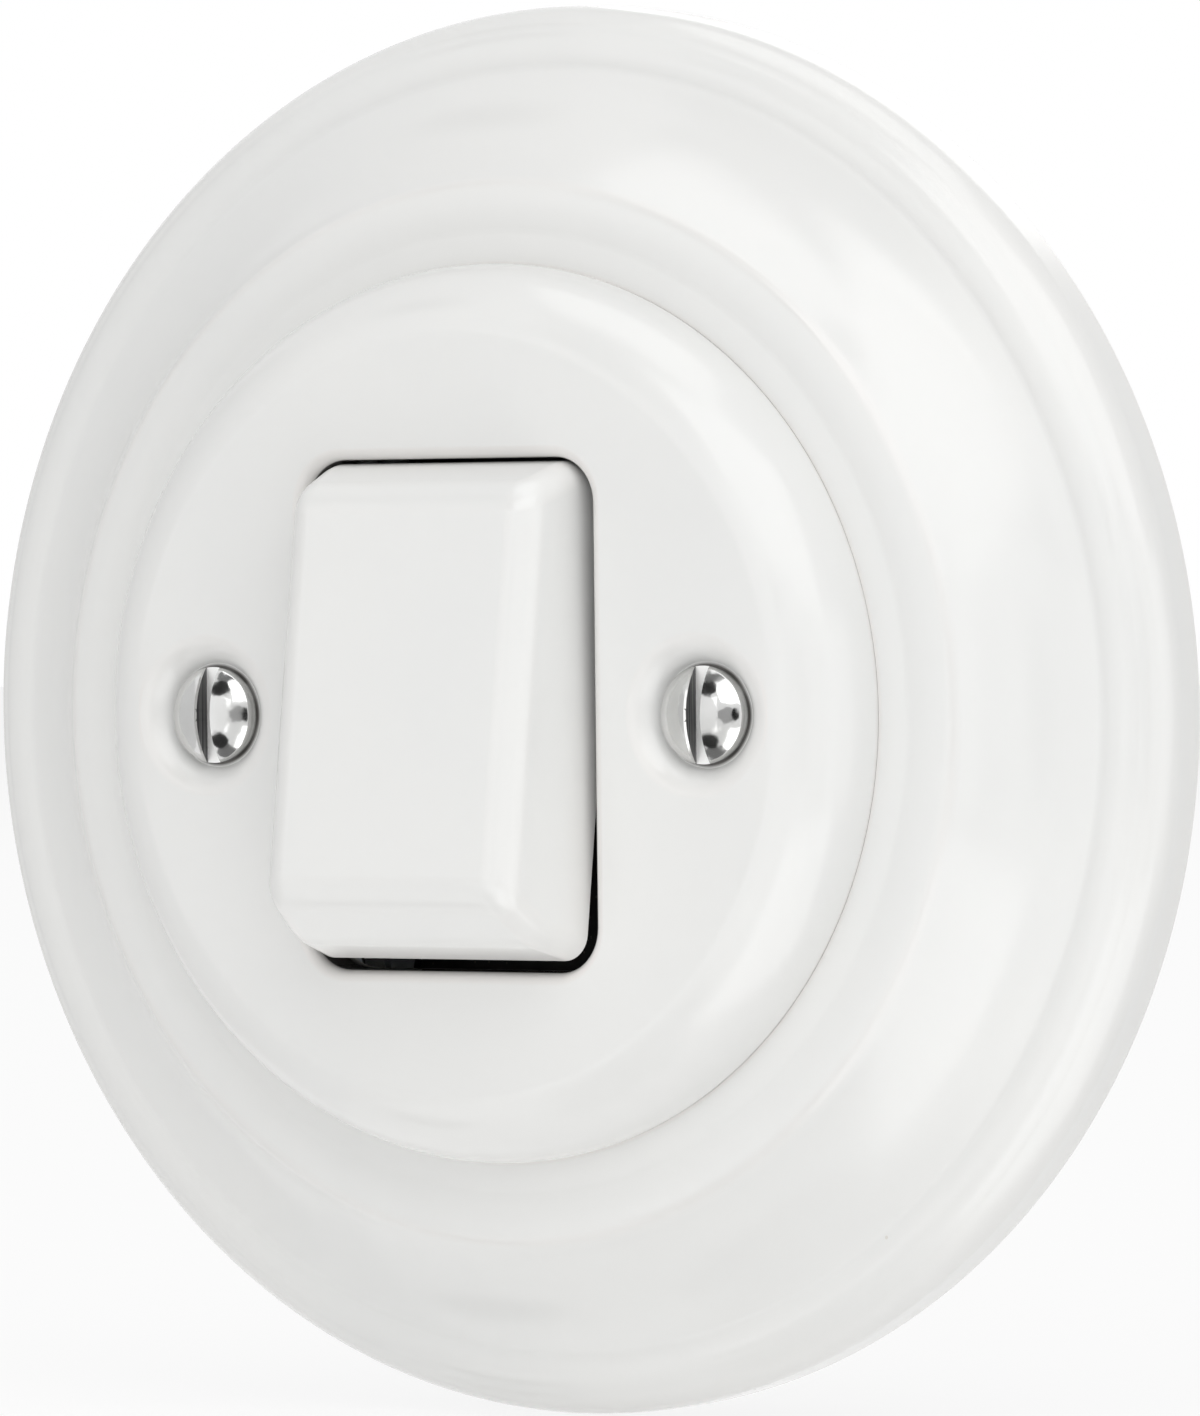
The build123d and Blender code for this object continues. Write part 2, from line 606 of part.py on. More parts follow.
def make_terminal(reach):
    """Brass block with a wire bore along Y and a clamp-screw hole, for a terminal above the centre."""
    half = TERMINAL_WIDTH / 2
    bore_z = reach + TERMINAL_HEIGHT / 2
    outer_z = reach + TERMINAL_HEIGHT
    rear_y = POCKET_FLOOR + TERMINAL_LENGTH
    mid_y = (POCKET_FLOOR + rear_y) / 2
    terminal = block(-half, half, POCKET_FLOOR, rear_y, reach, outer_z)
    terminal -= round_bar(WIRE_BORE_R, 0, bore_z, POCKET_FLOOR, rear_y)
    hole = Plane(origin=(0, mid_y, bore_z), x_dir=(1, 0, 0), z_dir=(0, 0, 1))
    clamp_hole_r = CLAMP_SCREW_R + THREAD_CLEARANCE
    terminal -= extrude(hole * Circle(clamp_hole_r), TERMINAL_HEIGHT)
    return terminal


def make_clamp_screw(reach):
    """Clamp screw backed off clear of the wire bore, for a terminal above the centre."""
    outer_z = reach + TERMINAL_HEIGHT
    tip_z = reach + TERMINAL_HEIGHT / 2 + WIRE_BORE_R + CLAMP_SCREW_TIP_GAP
    mid_y = POCKET_FLOOR + TERMINAL_LENGTH / 2
    head_z = outer_z + CLAMP_SCREW_LIFT
    top_z = head_z + CLAMP_HEAD_T
    shank_plane = Plane(origin=(0, mid_y, tip_z), x_dir=(1, 0, 0), z_dir=(0, 0, 1))
    head_plane = Plane(origin=(0, mid_y, head_z), x_dir=(1, 0, 0), z_dir=(0, 0, 1))
    screw = extrude(shank_plane * Circle(CLAMP_SCREW_R), head_z - tip_z)
    screw += extrude(head_plane * Circle(CLAMP_HEAD_R), CLAMP_HEAD_T)
    slot_y = CLAMP_SLOT_WIDTH / 2
    slot_z = top_z - CLAMP_SLOT_DEPTH
    screw -= block(-CLAMP_HEAD_R, CLAMP_HEAD_R, mid_y - slot_y, mid_y + slot_y, slot_z, top_z)
    return screw


def terminal_turns():
    """Node name, distance from the centre and turn about Y of each terminal."""
    return [
        ("upper_terminal", TERMINAL_REACH_Z, 0),
        ("lower_terminal", TERMINAL_REACH_Z, 180),
        ("common_terminal", TERMINAL_REACH_X, 90),
    ]


def make_terminal_screws():
    """The three clamp screws."""
    screws = [Rot(0, turn, 0) * make_clamp_screw(reach) for _, reach, turn in terminal_turns()]
    return Compound(children=screws)


def make_switch_base():
    """Moulded base: round body with flats, contact chamber in front and terminal pockets behind."""
    base = round_bar(BASE_R, 0, 0, 0, BASE_DEPTH)
    base &= block(-BASE_WIDTH / 2, BASE_WIDTH / 2, 0, BASE_DEPTH, -BASE_R, BASE_R)
    chamber_x = CHAMBER_WIDTH / 2
    chamber_z = CHAMBER_HEIGHT / 2
    well_z = WELL_HEIGHT / 2
    base -= block(-chamber_x, chamber_x, 0, LEDGE_Y, -chamber_z, chamber_z)
    base -= block(-chamber_x, chamber_x, LEDGE_Y, WELL_DEPTH, -well_z, well_z)
    pocket_x = TERMINAL_WIDTH / 2 + POCKET_GAP
    channel_x = STRIP_WIDTH / 2 + STRIP_GAP
    leg_end = POCKET_FLOOR + LEG_LENGTH + STRIP_GAP
    for turn in (0, 180):
        inner_z = TERMINAL_REACH_Z - STRIP_T
        channel = block(-channel_x, channel_x, 0, LEDGE_Y, chamber_z, TERMINAL_REACH_Z)
        leg_slot = block(-channel_x, channel_x, 0, leg_end, inner_z, TERMINAL_REACH_Z)
        pocket = block(-pocket_x, pocket_x, POCKET_FLOOR, BASE_DEPTH, TERMINAL_REACH_Z, BASE_R)
        base -= Rot(0, turn, 0) * (channel + leg_slot + pocket)
    saddle_z = SADDLE_HEIGHT / 2 + STRIP_GAP
    run = block(chamber_x, TERMINAL_REACH_X, 0, WELL_DEPTH, -saddle_z, saddle_z)
    leg_slot = block(TERMINAL_REACH_X - STRIP_T, TERMINAL_REACH_X, 0, leg_end, -saddle_z, saddle_z)
    side_pocket = block(TERMINAL_REACH_X, BASE_R, POCKET_FLOOR, BASE_DEPTH, -pocket_x, pocket_x)
    base -= run + leg_slot + side_pocket
    for x, z in base_screw_places():
        base -= round_bar(BASE_SCREW_R + THREAD_CLEARANCE, x, z, 0, BASE_SCREW_GRIP + STRIP_GAP)
    inner = pocket_x + RELIEF_WALL
    outer_x = BASE_WIDTH / 2 - RELIEF_WALL
    relief_y = BASE_DEPTH - RELIEF_DEPTH
    relief = round_bar(BASE_R - RELIEF_WALL, 0, 0, relief_y, BASE_DEPTH)
    relief &= block(inner, outer_x, relief_y, BASE_DEPTH, inner, BASE_R)
    for side in (relief, mirror(relief, Plane.YZ)):
        base -= side
        base -= mirror(side, Plane.XY)
    return base


def make_parts():
    """Every node of the switch by name."""
    parts = {
        "outer_frame": make_outer_frame(),
        "cover_disc": make_cover_disc(),
        "cover_screws": make_cover_screws(),
        "rocker_cap": make_rocker_cap(),
        "support_plate": make_support_plate(),
        "screw_pillars": make_screw_pillars(),
        "bearing_frame": make_bearing_frame(),
        "base_screws": make_base_screws(),
        "pivot_pin": make_pivot_pin(),
        "rocker_carrier": make_rocker_carrier(),
        "plunger": make_plunger(),
        "plunger_spring": make_plunger_spring(),
        "contact_rocker": make_contact_rocker(),
        "moving_contact_tips": make_moving_contact_tips(),
        "fixed_contact_tips": make_fixed_contact_tips(),
        "upper_contact_strip": make_contact_strip(1),
        "lower_contact_strip": make_contact_strip(-1),
        "contact_saddle": make_contact_saddle(),
        "terminal_screws": make_terminal_screws(),
        "switch_base": make_switch_base(),
    }
    for name, reach, turn in terminal_turns():
        parts[name] = Rot(0, turn, 0) * make_terminal(reach)
    return parts


os.makedirs("parts", exist_ok=True)
for name, shape in make_parts().items():
    export_step(shape, f"parts/{name}.step")
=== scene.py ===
"""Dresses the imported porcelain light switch.

The frame, disc and rocker are glazed, the screws are nickel plated, and the flush insert behind
them keeps its solids or gets copies with eased edges.
"""

import json
import logging
import math
from dataclasses import dataclass, field
from enum import Enum
from typing import ClassVar

import bmesh
import bpy
from mathutils import Matrix, Vector


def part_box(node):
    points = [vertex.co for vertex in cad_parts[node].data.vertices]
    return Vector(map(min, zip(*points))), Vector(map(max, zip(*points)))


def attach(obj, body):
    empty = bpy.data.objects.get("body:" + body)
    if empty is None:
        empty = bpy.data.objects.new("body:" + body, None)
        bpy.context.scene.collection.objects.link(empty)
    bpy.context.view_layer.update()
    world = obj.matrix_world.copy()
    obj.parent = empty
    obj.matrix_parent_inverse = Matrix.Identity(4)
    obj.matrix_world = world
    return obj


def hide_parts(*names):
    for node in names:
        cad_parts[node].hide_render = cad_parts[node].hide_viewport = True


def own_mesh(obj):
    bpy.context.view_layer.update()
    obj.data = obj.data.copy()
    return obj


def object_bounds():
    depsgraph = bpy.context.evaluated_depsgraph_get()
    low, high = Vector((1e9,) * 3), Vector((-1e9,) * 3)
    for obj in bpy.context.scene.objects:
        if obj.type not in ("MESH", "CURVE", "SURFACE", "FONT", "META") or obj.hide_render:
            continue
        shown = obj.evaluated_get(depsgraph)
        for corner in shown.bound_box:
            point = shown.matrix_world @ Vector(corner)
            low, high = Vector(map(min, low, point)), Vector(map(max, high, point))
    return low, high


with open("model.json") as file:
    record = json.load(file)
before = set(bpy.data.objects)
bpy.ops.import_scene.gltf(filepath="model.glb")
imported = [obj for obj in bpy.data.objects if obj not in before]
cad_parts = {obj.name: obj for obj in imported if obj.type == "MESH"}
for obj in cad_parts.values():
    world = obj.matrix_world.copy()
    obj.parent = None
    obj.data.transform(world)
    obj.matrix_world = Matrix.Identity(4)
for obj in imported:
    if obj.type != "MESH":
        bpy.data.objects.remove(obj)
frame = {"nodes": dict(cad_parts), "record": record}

LOG = logging.getLogger("porcelain_switch")
CAD_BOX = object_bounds()
PHOTO_SIZE = (1200, 1416)
WHITE = (1.0, 1.0, 1.0, 1.0)

# Sockets of a Mix node that mixes colours.
MIX_FACTOR, MIX_A, MIX_B, MIX_RESULT = 0, 6, 7, 2

# A millimetre in metres, then lengths in millimetres. Several pieces share the last four.
MM = 0.001
MERGE_MM = 0.0005
PLACE_MM = 0.004
SEAT_H = 11.55
BORE_R = 28.0
SCREW_X = 20.7
SCREW_SEAT_DEPTH = 1.6

Colour = tuple[float, float, float]
Point = tuple[float, float, float]
Place = tuple[float, float]
Span = tuple[float, float]


class Body(Enum):
    """Moving bodies of the switch."""

    INSERT = "insert"
    ROCKER = "rocker"
    PLUNGER = "plunger"
    CONTACT_ARM = "contact_arm"


class Slot(Enum):
    """Finish slots of the record."""

    PORCELAIN = "porcelain"
    NICKEL = "nickel"
    ZINC_STEEL = "zinc_steel"
    INSULATOR = "insulator"
    BRASS = "brass"
    SILVER = "silver"
    SPRING_STEEL = "spring_steel"


class Grain(Enum):
    """Ways in which the tool marks of a metal run."""

    TURNED = "turned"
    DRAWN = "drawn"
    ROLLED = "rolled"


class SocketKind(Enum):
    """What a socket of a shader group carries."""

    VECTOR = "NodeSocketVector"
    FLOAT = "NodeSocketFloat"
    COLOUR = "NodeSocketColor"


def reach_x(node: str) -> float:
    """Return how far a node reaches from the axis along X, in millimetres."""
    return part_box(node)[1].x / MM


def front_h(node: str) -> float:
    """Return how far a node stands off the wall, in millimetres."""
    return -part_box(node)[0].y / MM


def off_wall(radius: float, height: float) -> Vector:
    """Return the point of a half section at this radius and height off the wall."""
    return Vector((radius, -height, 0.0))


def aim(azimuth: float, elevation: float) -> Vector:
    """Return the direction at these degrees: azimuth 0 is straight in front, 90 to the right."""
    a, e = math.radians(azimuth), math.radians(elevation)
    return Vector((math.sin(a) * math.cos(e), -math.cos(a) * math.cos(e), math.sin(e)))


def everything(bm: bmesh.types.BMesh) -> list[object]:
    """Return all vertices, edges and faces of a mesh."""
    return bm.verts[:] + bm.edges[:] + bm.faces[:]


def verts_in(geom: list[object]) -> list[bmesh.types.BMVert]:
    """Return the vertices among the elements that an operator made."""
    return [e for e in geom if isinstance(e, bmesh.types.BMVert)]


def weld(bm: bmesh.types.BMesh) -> None:
    """Merge the doubled points of a mesh."""
    bmesh.ops.remove_doubles(bm, verts=bm.verts[:], dist=MERGE_MM)


def weld_poles(bm: bmesh.types.BMesh) -> None:
    """Merge the doubled points of a mesh and take out what has no size then."""
    weld(bm)
    bmesh.ops.dissolve_degenerate(bm, edges=bm.edges[:], dist=MERGE_MM)


def face_outwards(bm: bmesh.types.BMesh) -> None:
    """Turn all faces of a closed mesh outwards."""
    bmesh.ops.recalc_face_normals(bm, faces=bm.faces[:])


def cut_across(bm: bmesh.types.BMesh, place: Point, normal: Point) -> None:
    """Cut edges into a mesh where a plane at this place, with this normal, meets it."""
    bmesh.ops.bisect_plane(bm, geom=everything(bm), dist=MERGE_MM, plane_co=place, plane_no=normal)


class SectionPen:
    """Draws the half section of a turned piece, with the radius along X and the height along -Y."""

    def __init__(self, bm: bmesh.types.BMesh, radius: float, height: float) -> None:
        """Put the pen down.

        Args:
            bm: Mesh to draw in.
            radius: Radius of the first point, in millimetres.
            height: Its height off the wall.
        """
        self.bm = bm
        self.start = bm.verts.new(off_wall(radius, height))
        self.tip = self.start

    def line_to(self, radius: float, height: float, steps: int = 1) -> None:
        """Draw a straight run.

        Args:
            radius: Radius of its end.
            height: Height of its end.
            steps: Number of equal lengths that it is drawn in.
        """
        start, end = self.tip.co.copy(), off_wall(radius, height)
        for step in range(1, steps + 1):
            tip = self.bm.verts.new(start.lerp(end, step / steps))
            self.bm.edges.new((self.tip, tip))
            self.tip = tip

    def arc_through(self, via: Place, end: Place, steps: int) -> None:
        """Draw an arc by spinning the pen's tip about the arc's centre.

        Args:
            via: Radius and height of a point on the arc.
            end: Radius and height of its end.
            steps: Number of chords.
        """
        a, b, c = self.tip.co.copy(), off_wall(*via), off_wall(*end)
        ab, ac = b - a, c - a
        cross = 2 * (ab.x * ac.y - ab.y * ac.x)
        x = (ac.y * ab.length_squared - ab.y * ac.length_squared) / cross
        y = (ab.x * ac.length_squared - ac.x * ab.length_squared) / cross
        centre = a + Vector((x, y, 0.0))
        first, last = a - centre, c - centre
        turn = math.atan2(first.x * last.y - first.y * last.x, first.dot(last))
        if turn * cross < 0:
            turn += math.copysign(math.tau, cross)
        swept = bmesh.ops.spin(
            self.bm, geom=[self.tip], cent=centre, axis=(0, 0, 1), angle=turn, steps=steps
        )
        self.tip = verts_in(swept["geom_last"])[0]

    def bow_to(self, radius: float, height: float, rise: float, steps: int) -> None:
        """Draw a shallow arc.

        Args:
            radius: Radius of its end.
            height: Height of its end.
            rise: How far its middle stands off the chord, positive on the side away from the wall.
            steps: Number of chords.
        """
        a, c = self.tip.co.copy(), off_wall(radius, height)
        across = Vector((c.y - a.y, a.x - c.x, 0.0)).normalized()
        if across.y > 0:
            across.negate()
        via = (a + c) / 2 + across * rise
        self.arc_through((via.x, -via.y), (radius, height), steps)

    def close(self) -> None:
        """Join the pen's tip to where it was put down."""
        self.bm.edges.new((self.tip, self.start))

    def ease(self, crease: Place, reach: float, times: int) -> None:
        """Round off a crease of the section, as a glaze does, by smoothing the points round it.

        Args:
            crease: Radius and height of the crease.
            reach: How far from it points are moved.
            times: How often they are smoothed.
        """
        centre = off_wall(*crease)
        near = [v for v in self.bm.verts if (v.co - centre).length < reach]
        for _ in range(times):
            bmesh.ops.smooth_vert(
                self.bm, verts=near, factor=0.5, use_axis_x=True, use_axis_y=True
            )


def turn_section(bm: bmesh.types.BMesh, steps: int) -> None:
    """Spin the drawn section once about the switch's axis and close its seam and poles.

    Args:
        bm: Mesh that holds only the section.
        steps: Number of facets round the axis.
    """
    bmesh.ops.spin(
        bm, geom=bm.verts[:] + bm.edges[:], cent=(0, 0, 0), axis=(0, 1, 0),
        angle=math.tau, steps=steps, use_merge=True,
    )
    weld_poles(bm)


def ring_edges(bm: bmesh.types.BMesh, radius: float, height: float) -> list[bmesh.types.BMEdge]:
    """Find the edges of a turned piece that lie at one radius and height.

    Args:
        bm: Mesh of the turned piece.
        radius: Radius of the ring.
        height: Its height off the wall.

    Returns:
        The edges of the ring.
    """
    def on_ring(vert: bmesh.types.BMVert) -> bool:
        """Tell whether a vertex lies on the ring."""
        off_ring = abs(math.hypot(vert.co.x, vert.co.z) - radius)
        return off_ring < PLACE_MM and abs(vert.co.y + height) < PLACE_MM

    return [e for e in bm.edges if all(on_ring(v) for v in e.verts)]


def soften(
    bm: bmesh.types.BMesh, geom: list[object], width: float, segments: int, affect: str = "EDGES"
) -> None:
    """Round off edges or corners, as a glaze or a polish does.

    Args:
        bm: Mesh to work on.
        geom: Edges or vertices to round.
        width: Width of the round, in millimetres.
        segments: Number of facets across it.
        affect: EDGES, or VERTICES for the corners of a flat face.
    """
    bmesh.ops.bevel(
        bm, geom=geom, offset=width, offset_type="OFFSET", segments=segments,
        profile=0.5, affect=affect, material=-1, clamp_overlap=True,
    )


def facing_front(height: float, x: float = 0.0) -> Matrix:
    """Return the matrix that turns a flat shape to the front, at this height and place along X."""
    return Matrix.Translation((x, -height, 0.0)) @ Matrix.Rotation(math.pi / 2, 4, "X")


def rounded_window(
    bm: bmesh.types.BMesh, half_x: float, half_z: float, corner: float, height: float, segments: int
) -> bmesh.types.BMFace:
    """Make a flat face with rounded corners, facing the front.

    Args:
        bm: Mesh to add to.
        half_x: Half its width.
        half_z: Half its height.
        corner: Radius of its corners.
        height: Where it lies off the wall.
        segments: Number of facets round a corner.

    Returns:
        The face.
    """
    known = set(bm.faces)
    made = bmesh.ops.create_grid(
        bm, x_segments=1, y_segments=1, size=1.0, matrix=facing_front(height)
    )
    bmesh.ops.scale(bm, vec=(half_x, 1.0, half_z), verts=made["verts"])
    soften(bm, made["verts"], corner, segments, "VERTICES")
    return face_to_front(bm, next(f for f in bm.faces if f not in known))


def round_window(
    bm: bmesh.types.BMesh, radius: float, x: float, height: float, segments: int
) -> bmesh.types.BMFace:
    """Make a flat round face, facing the front.

    Args:
        bm: Mesh to add to.
        radius: Its radius.
        x: Place of its centre along X.
        height: Where it lies off the wall.
        segments: Number of edges round it.

    Returns:
        The face.
    """
    known = set(bm.faces)
    bmesh.ops.create_circle(
        bm, cap_ends=True, segments=segments, radius=radius, matrix=facing_front(height, x)
    )
    return face_to_front(bm, next(f for f in bm.faces if f not in known))


def face_to_front(bm: bmesh.types.BMesh, face: bmesh.types.BMFace) -> bmesh.types.BMFace:
    """Turn a flat face round where it looks at the wall.

    Args:
        bm: Mesh that holds it.
        face: The face.

    Returns:
        The same face, facing the front.
    """
    face.normal_update()
    if face.normal.y > 0:
        bmesh.ops.reverse_faces(bm, faces=[face])
        face.normal_update()
    return face


def sink(bm: bmesh.types.BMesh, face: bmesh.types.BMFace, path: list[Place]) -> bmesh.types.BMFace:
    """Sink a face into a piece by insets that follow a path.

    Args:
        bm: Mesh that holds the face.
        face: The face, which stays the floor of the hollow.
        path: Distances inwards and downwards from the first outline, in millimetres.

    Returns:
        The face.
    """
    inward, down = 0.0, 0.0
    for step_in, step_down in path:
        bmesh.ops.inset_region(
            bm, faces=[face], thickness=step_in - inward, depth=down - step_down,
            use_even_offset=True, use_boundary=True,
        )
        face.normal_update()
        inward, down = step_in, step_down
    return face


def push(bm: bmesh.types.BMesh, face: bmesh.types.BMFace, depth: float) -> bmesh.types.BMFace:
    """Push a face towards the wall, drawing walls behind it.

    Args:
        bm: Mesh that holds the face.
        face: The face.
        depth: How far, in millimetres.

    Returns:
        The face at its new place.
    """
    moved = bmesh.ops.extrude_discrete_faces(bm, faces=[face])["faces"][0]
    bmesh.ops.translate(bm, vec=(0.0, depth, 0.0), verts=moved.verts[:])
    return moved


def open_face(bm: bmesh.types.BMesh, face: bmesh.types.BMFace) -> list[bmesh.types.BMEdge]:
    """Take a face out and keep its outline.

    Args:
        bm: Mesh that holds the face.
        face: The face.

    Returns:
        The edges of its outline.
    """
    outline = face.edges[:]
    bmesh.ops.delete(bm, geom=[face], context="FACES_ONLY")
    return outline


def fill_between(bm: bmesh.types.BMesh, edges: list[bmesh.types.BMEdge]) -> None:
    """Fill the flat field between an outline and the openings in it."""
    bmesh.ops.triangle_fill(bm, use_beauty=True, use_dissolve=False, edges=edges)


def mark_thin_glaze(bm: bmesh.types.BMesh, bends: Span) -> None:
    """Mark tight convex edges, where a glaze runs thin, in the attribute thin_glaze.

    Args:
        bm: Mesh in millimetres, with its normals outwards.
        bends: Curvatures per millimetre at which the glaze starts to thin and is thinnest.
    """
    start, full = bends
    layer = bm.verts.layers.float.new("thin_glaze")
    for vert in bm.verts:
        bend = 0.0
        for edge in vert.link_edges:
            if len(edge.link_faces) == 2 and edge.calc_length() > MERGE_MM:
                span = sum(f.calc_area() for f in edge.link_faces) / 2 / edge.calc_length()
                bend = max(bend, edge.calc_face_angle_signed(0.0) / max(span, MERGE_MM))
        vert[layer] = min(max((bend - start) / (full - start), 0.0), 1.0)


def link_object(name: str, data: bpy.types.ID) -> bpy.types.Object:
    """Put a mesh, lamp or camera into the scene.

    Args:
        name: Name of the object.
        data: The mesh, lamp or camera.

    Returns:
        Its object.
    """
    made = bpy.data.objects.new(name, data)
    bpy.context.scene.collection.objects.link(made)
    return made


def settle_mesh(bm: bmesh.types.BMesh, name: str) -> bpy.types.Mesh:
    """Write a bmesh to a new mesh.

    Args:
        bm: The bmesh, which is freed.
        name: Name of the mesh.

    Returns:
        The mesh.
    """
    mesh = bpy.data.meshes.new(name)
    bm.to_mesh(mesh)
    bm.free()
    return mesh


def make_piece(bm: bmesh.types.BMesh, name: str, sharp: float) -> bpy.types.Object:
    """Turn a mesh in millimetres into a smooth object in metres at the origin.

    Args:
        bm: The mesh, which is freed.
        name: Name of the piece.
        sharp: Angle in degrees past which an edge stays sharp.

    Returns:
        The linked object.
    """
    bmesh.ops.scale(bm, vec=(MM, MM, MM), verts=bm.verts[:])
    limit = math.radians(sharp)
    for edge in bm.edges:
        edge.smooth = edge.calc_face_angle(0.0) < limit
    for face in bm.faces:
        face.smooth = True
    piece = link_object(name, settle_mesh(bm, name))
    even = piece.modifiers.new("even_shading", "WEIGHTED_NORMAL")
    even.keep_sharp = True
    even.weight = 60
    return piece


def place_piece(
    piece: bpy.types.Object, body: Body, node: str, finish: bpy.types.Material
) -> None:
    """Dress a piece and let it stand for its CAD node.

    Args:
        piece: The new object.
        body: Body that it rides on.
        node: Node that it replaces.
        finish: Its material.
    """
    piece.data.materials.clear()
    piece.data.materials.append(finish)
    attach(piece, body.value)
    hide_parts(node)
    LOG.info("%s stands for %s, %d faces", piece.name, node, len(piece.data.polygons))


class NodeBench:
    """Adds and joins the nodes of one node tree."""

    def __init__(self, tree: bpy.types.NodeTree) -> None:
        """Start on the tree of a material, a group or the world, and clear it."""
        self.tree = tree
        tree.nodes.clear()

    def add(self, kind: str, **values: object) -> bpy.types.Node:
        """Add a node.

        Args:
            kind: Node type.
            **values: Properties of the node to set.

        Returns:
            The node.
        """
        node = self.tree.nodes.new(kind)
        for name, value in values.items():
            setattr(node, name, value)
        return node

    def tune(self, node: bpy.types.Node, **values: object) -> None:
        """Set inputs of a node by name, with _ for a blank."""
        for name, value in values.items():
            node.inputs[name.replace("_", " ")].default_value = value

    def join(self, source: bpy.types.NodeSocket, target: bpy.types.NodeSocket) -> None:
        """Join two sockets."""
        self.tree.links.new(source, target)

    def feed(self, source: bpy.types.Node, target: bpy.types.Node, *names: str) -> None:
        """Join outputs of one node to the inputs of the same names on another."""
        for name in names:
            self.join(source.outputs[name], target.inputs[name])

    def maths(self, operation: str, first: object, second: object) -> bpy.types.NodeSocket:
        """Add a Math node.

        Args:
            operation: What it does.
            first: A socket or a number.
            second: A socket or a number.

        Returns:
            Its output.
        """
        node = self.add("ShaderNodeMath", operation=operation)
        for socket, value in zip(node.inputs, (first, second)):
            if isinstance(value, bpy.types.NodeSocket):
                self.join(value, socket)
            else:
                socket.default_value = value
        return node.outputs[0]

    def blend(self, mask: object, first: object, second: object) -> bpy.types.NodeSocket:
        """Mix two colours by a mask.

        Args:
            mask: Socket, 0 for the first colour and 1 for the second.
            first: Socket or colour.
            second: Socket or colour.

        Returns:
            The mixed colour's socket.
        """
        node = self.add("ShaderNodeMix", data_type="RGBA")
        self.join(mask, node.inputs[MIX_FACTOR])
        for index, value in ((MIX_A, first), (MIX_B, second)):
            if isinstance(value, bpy.types.NodeSocket):
                self.join(value, node.inputs[index])
            else:
                node.inputs[index].default_value = (*value, 1.0)
        return node.outputs[MIX_RESULT]


@dataclass(frozen=True)
class GroupSocket:
    """One named socket of a shader group."""

    name: str
    kind: SocketKind = SocketKind.FLOAT
    value: float | None = None


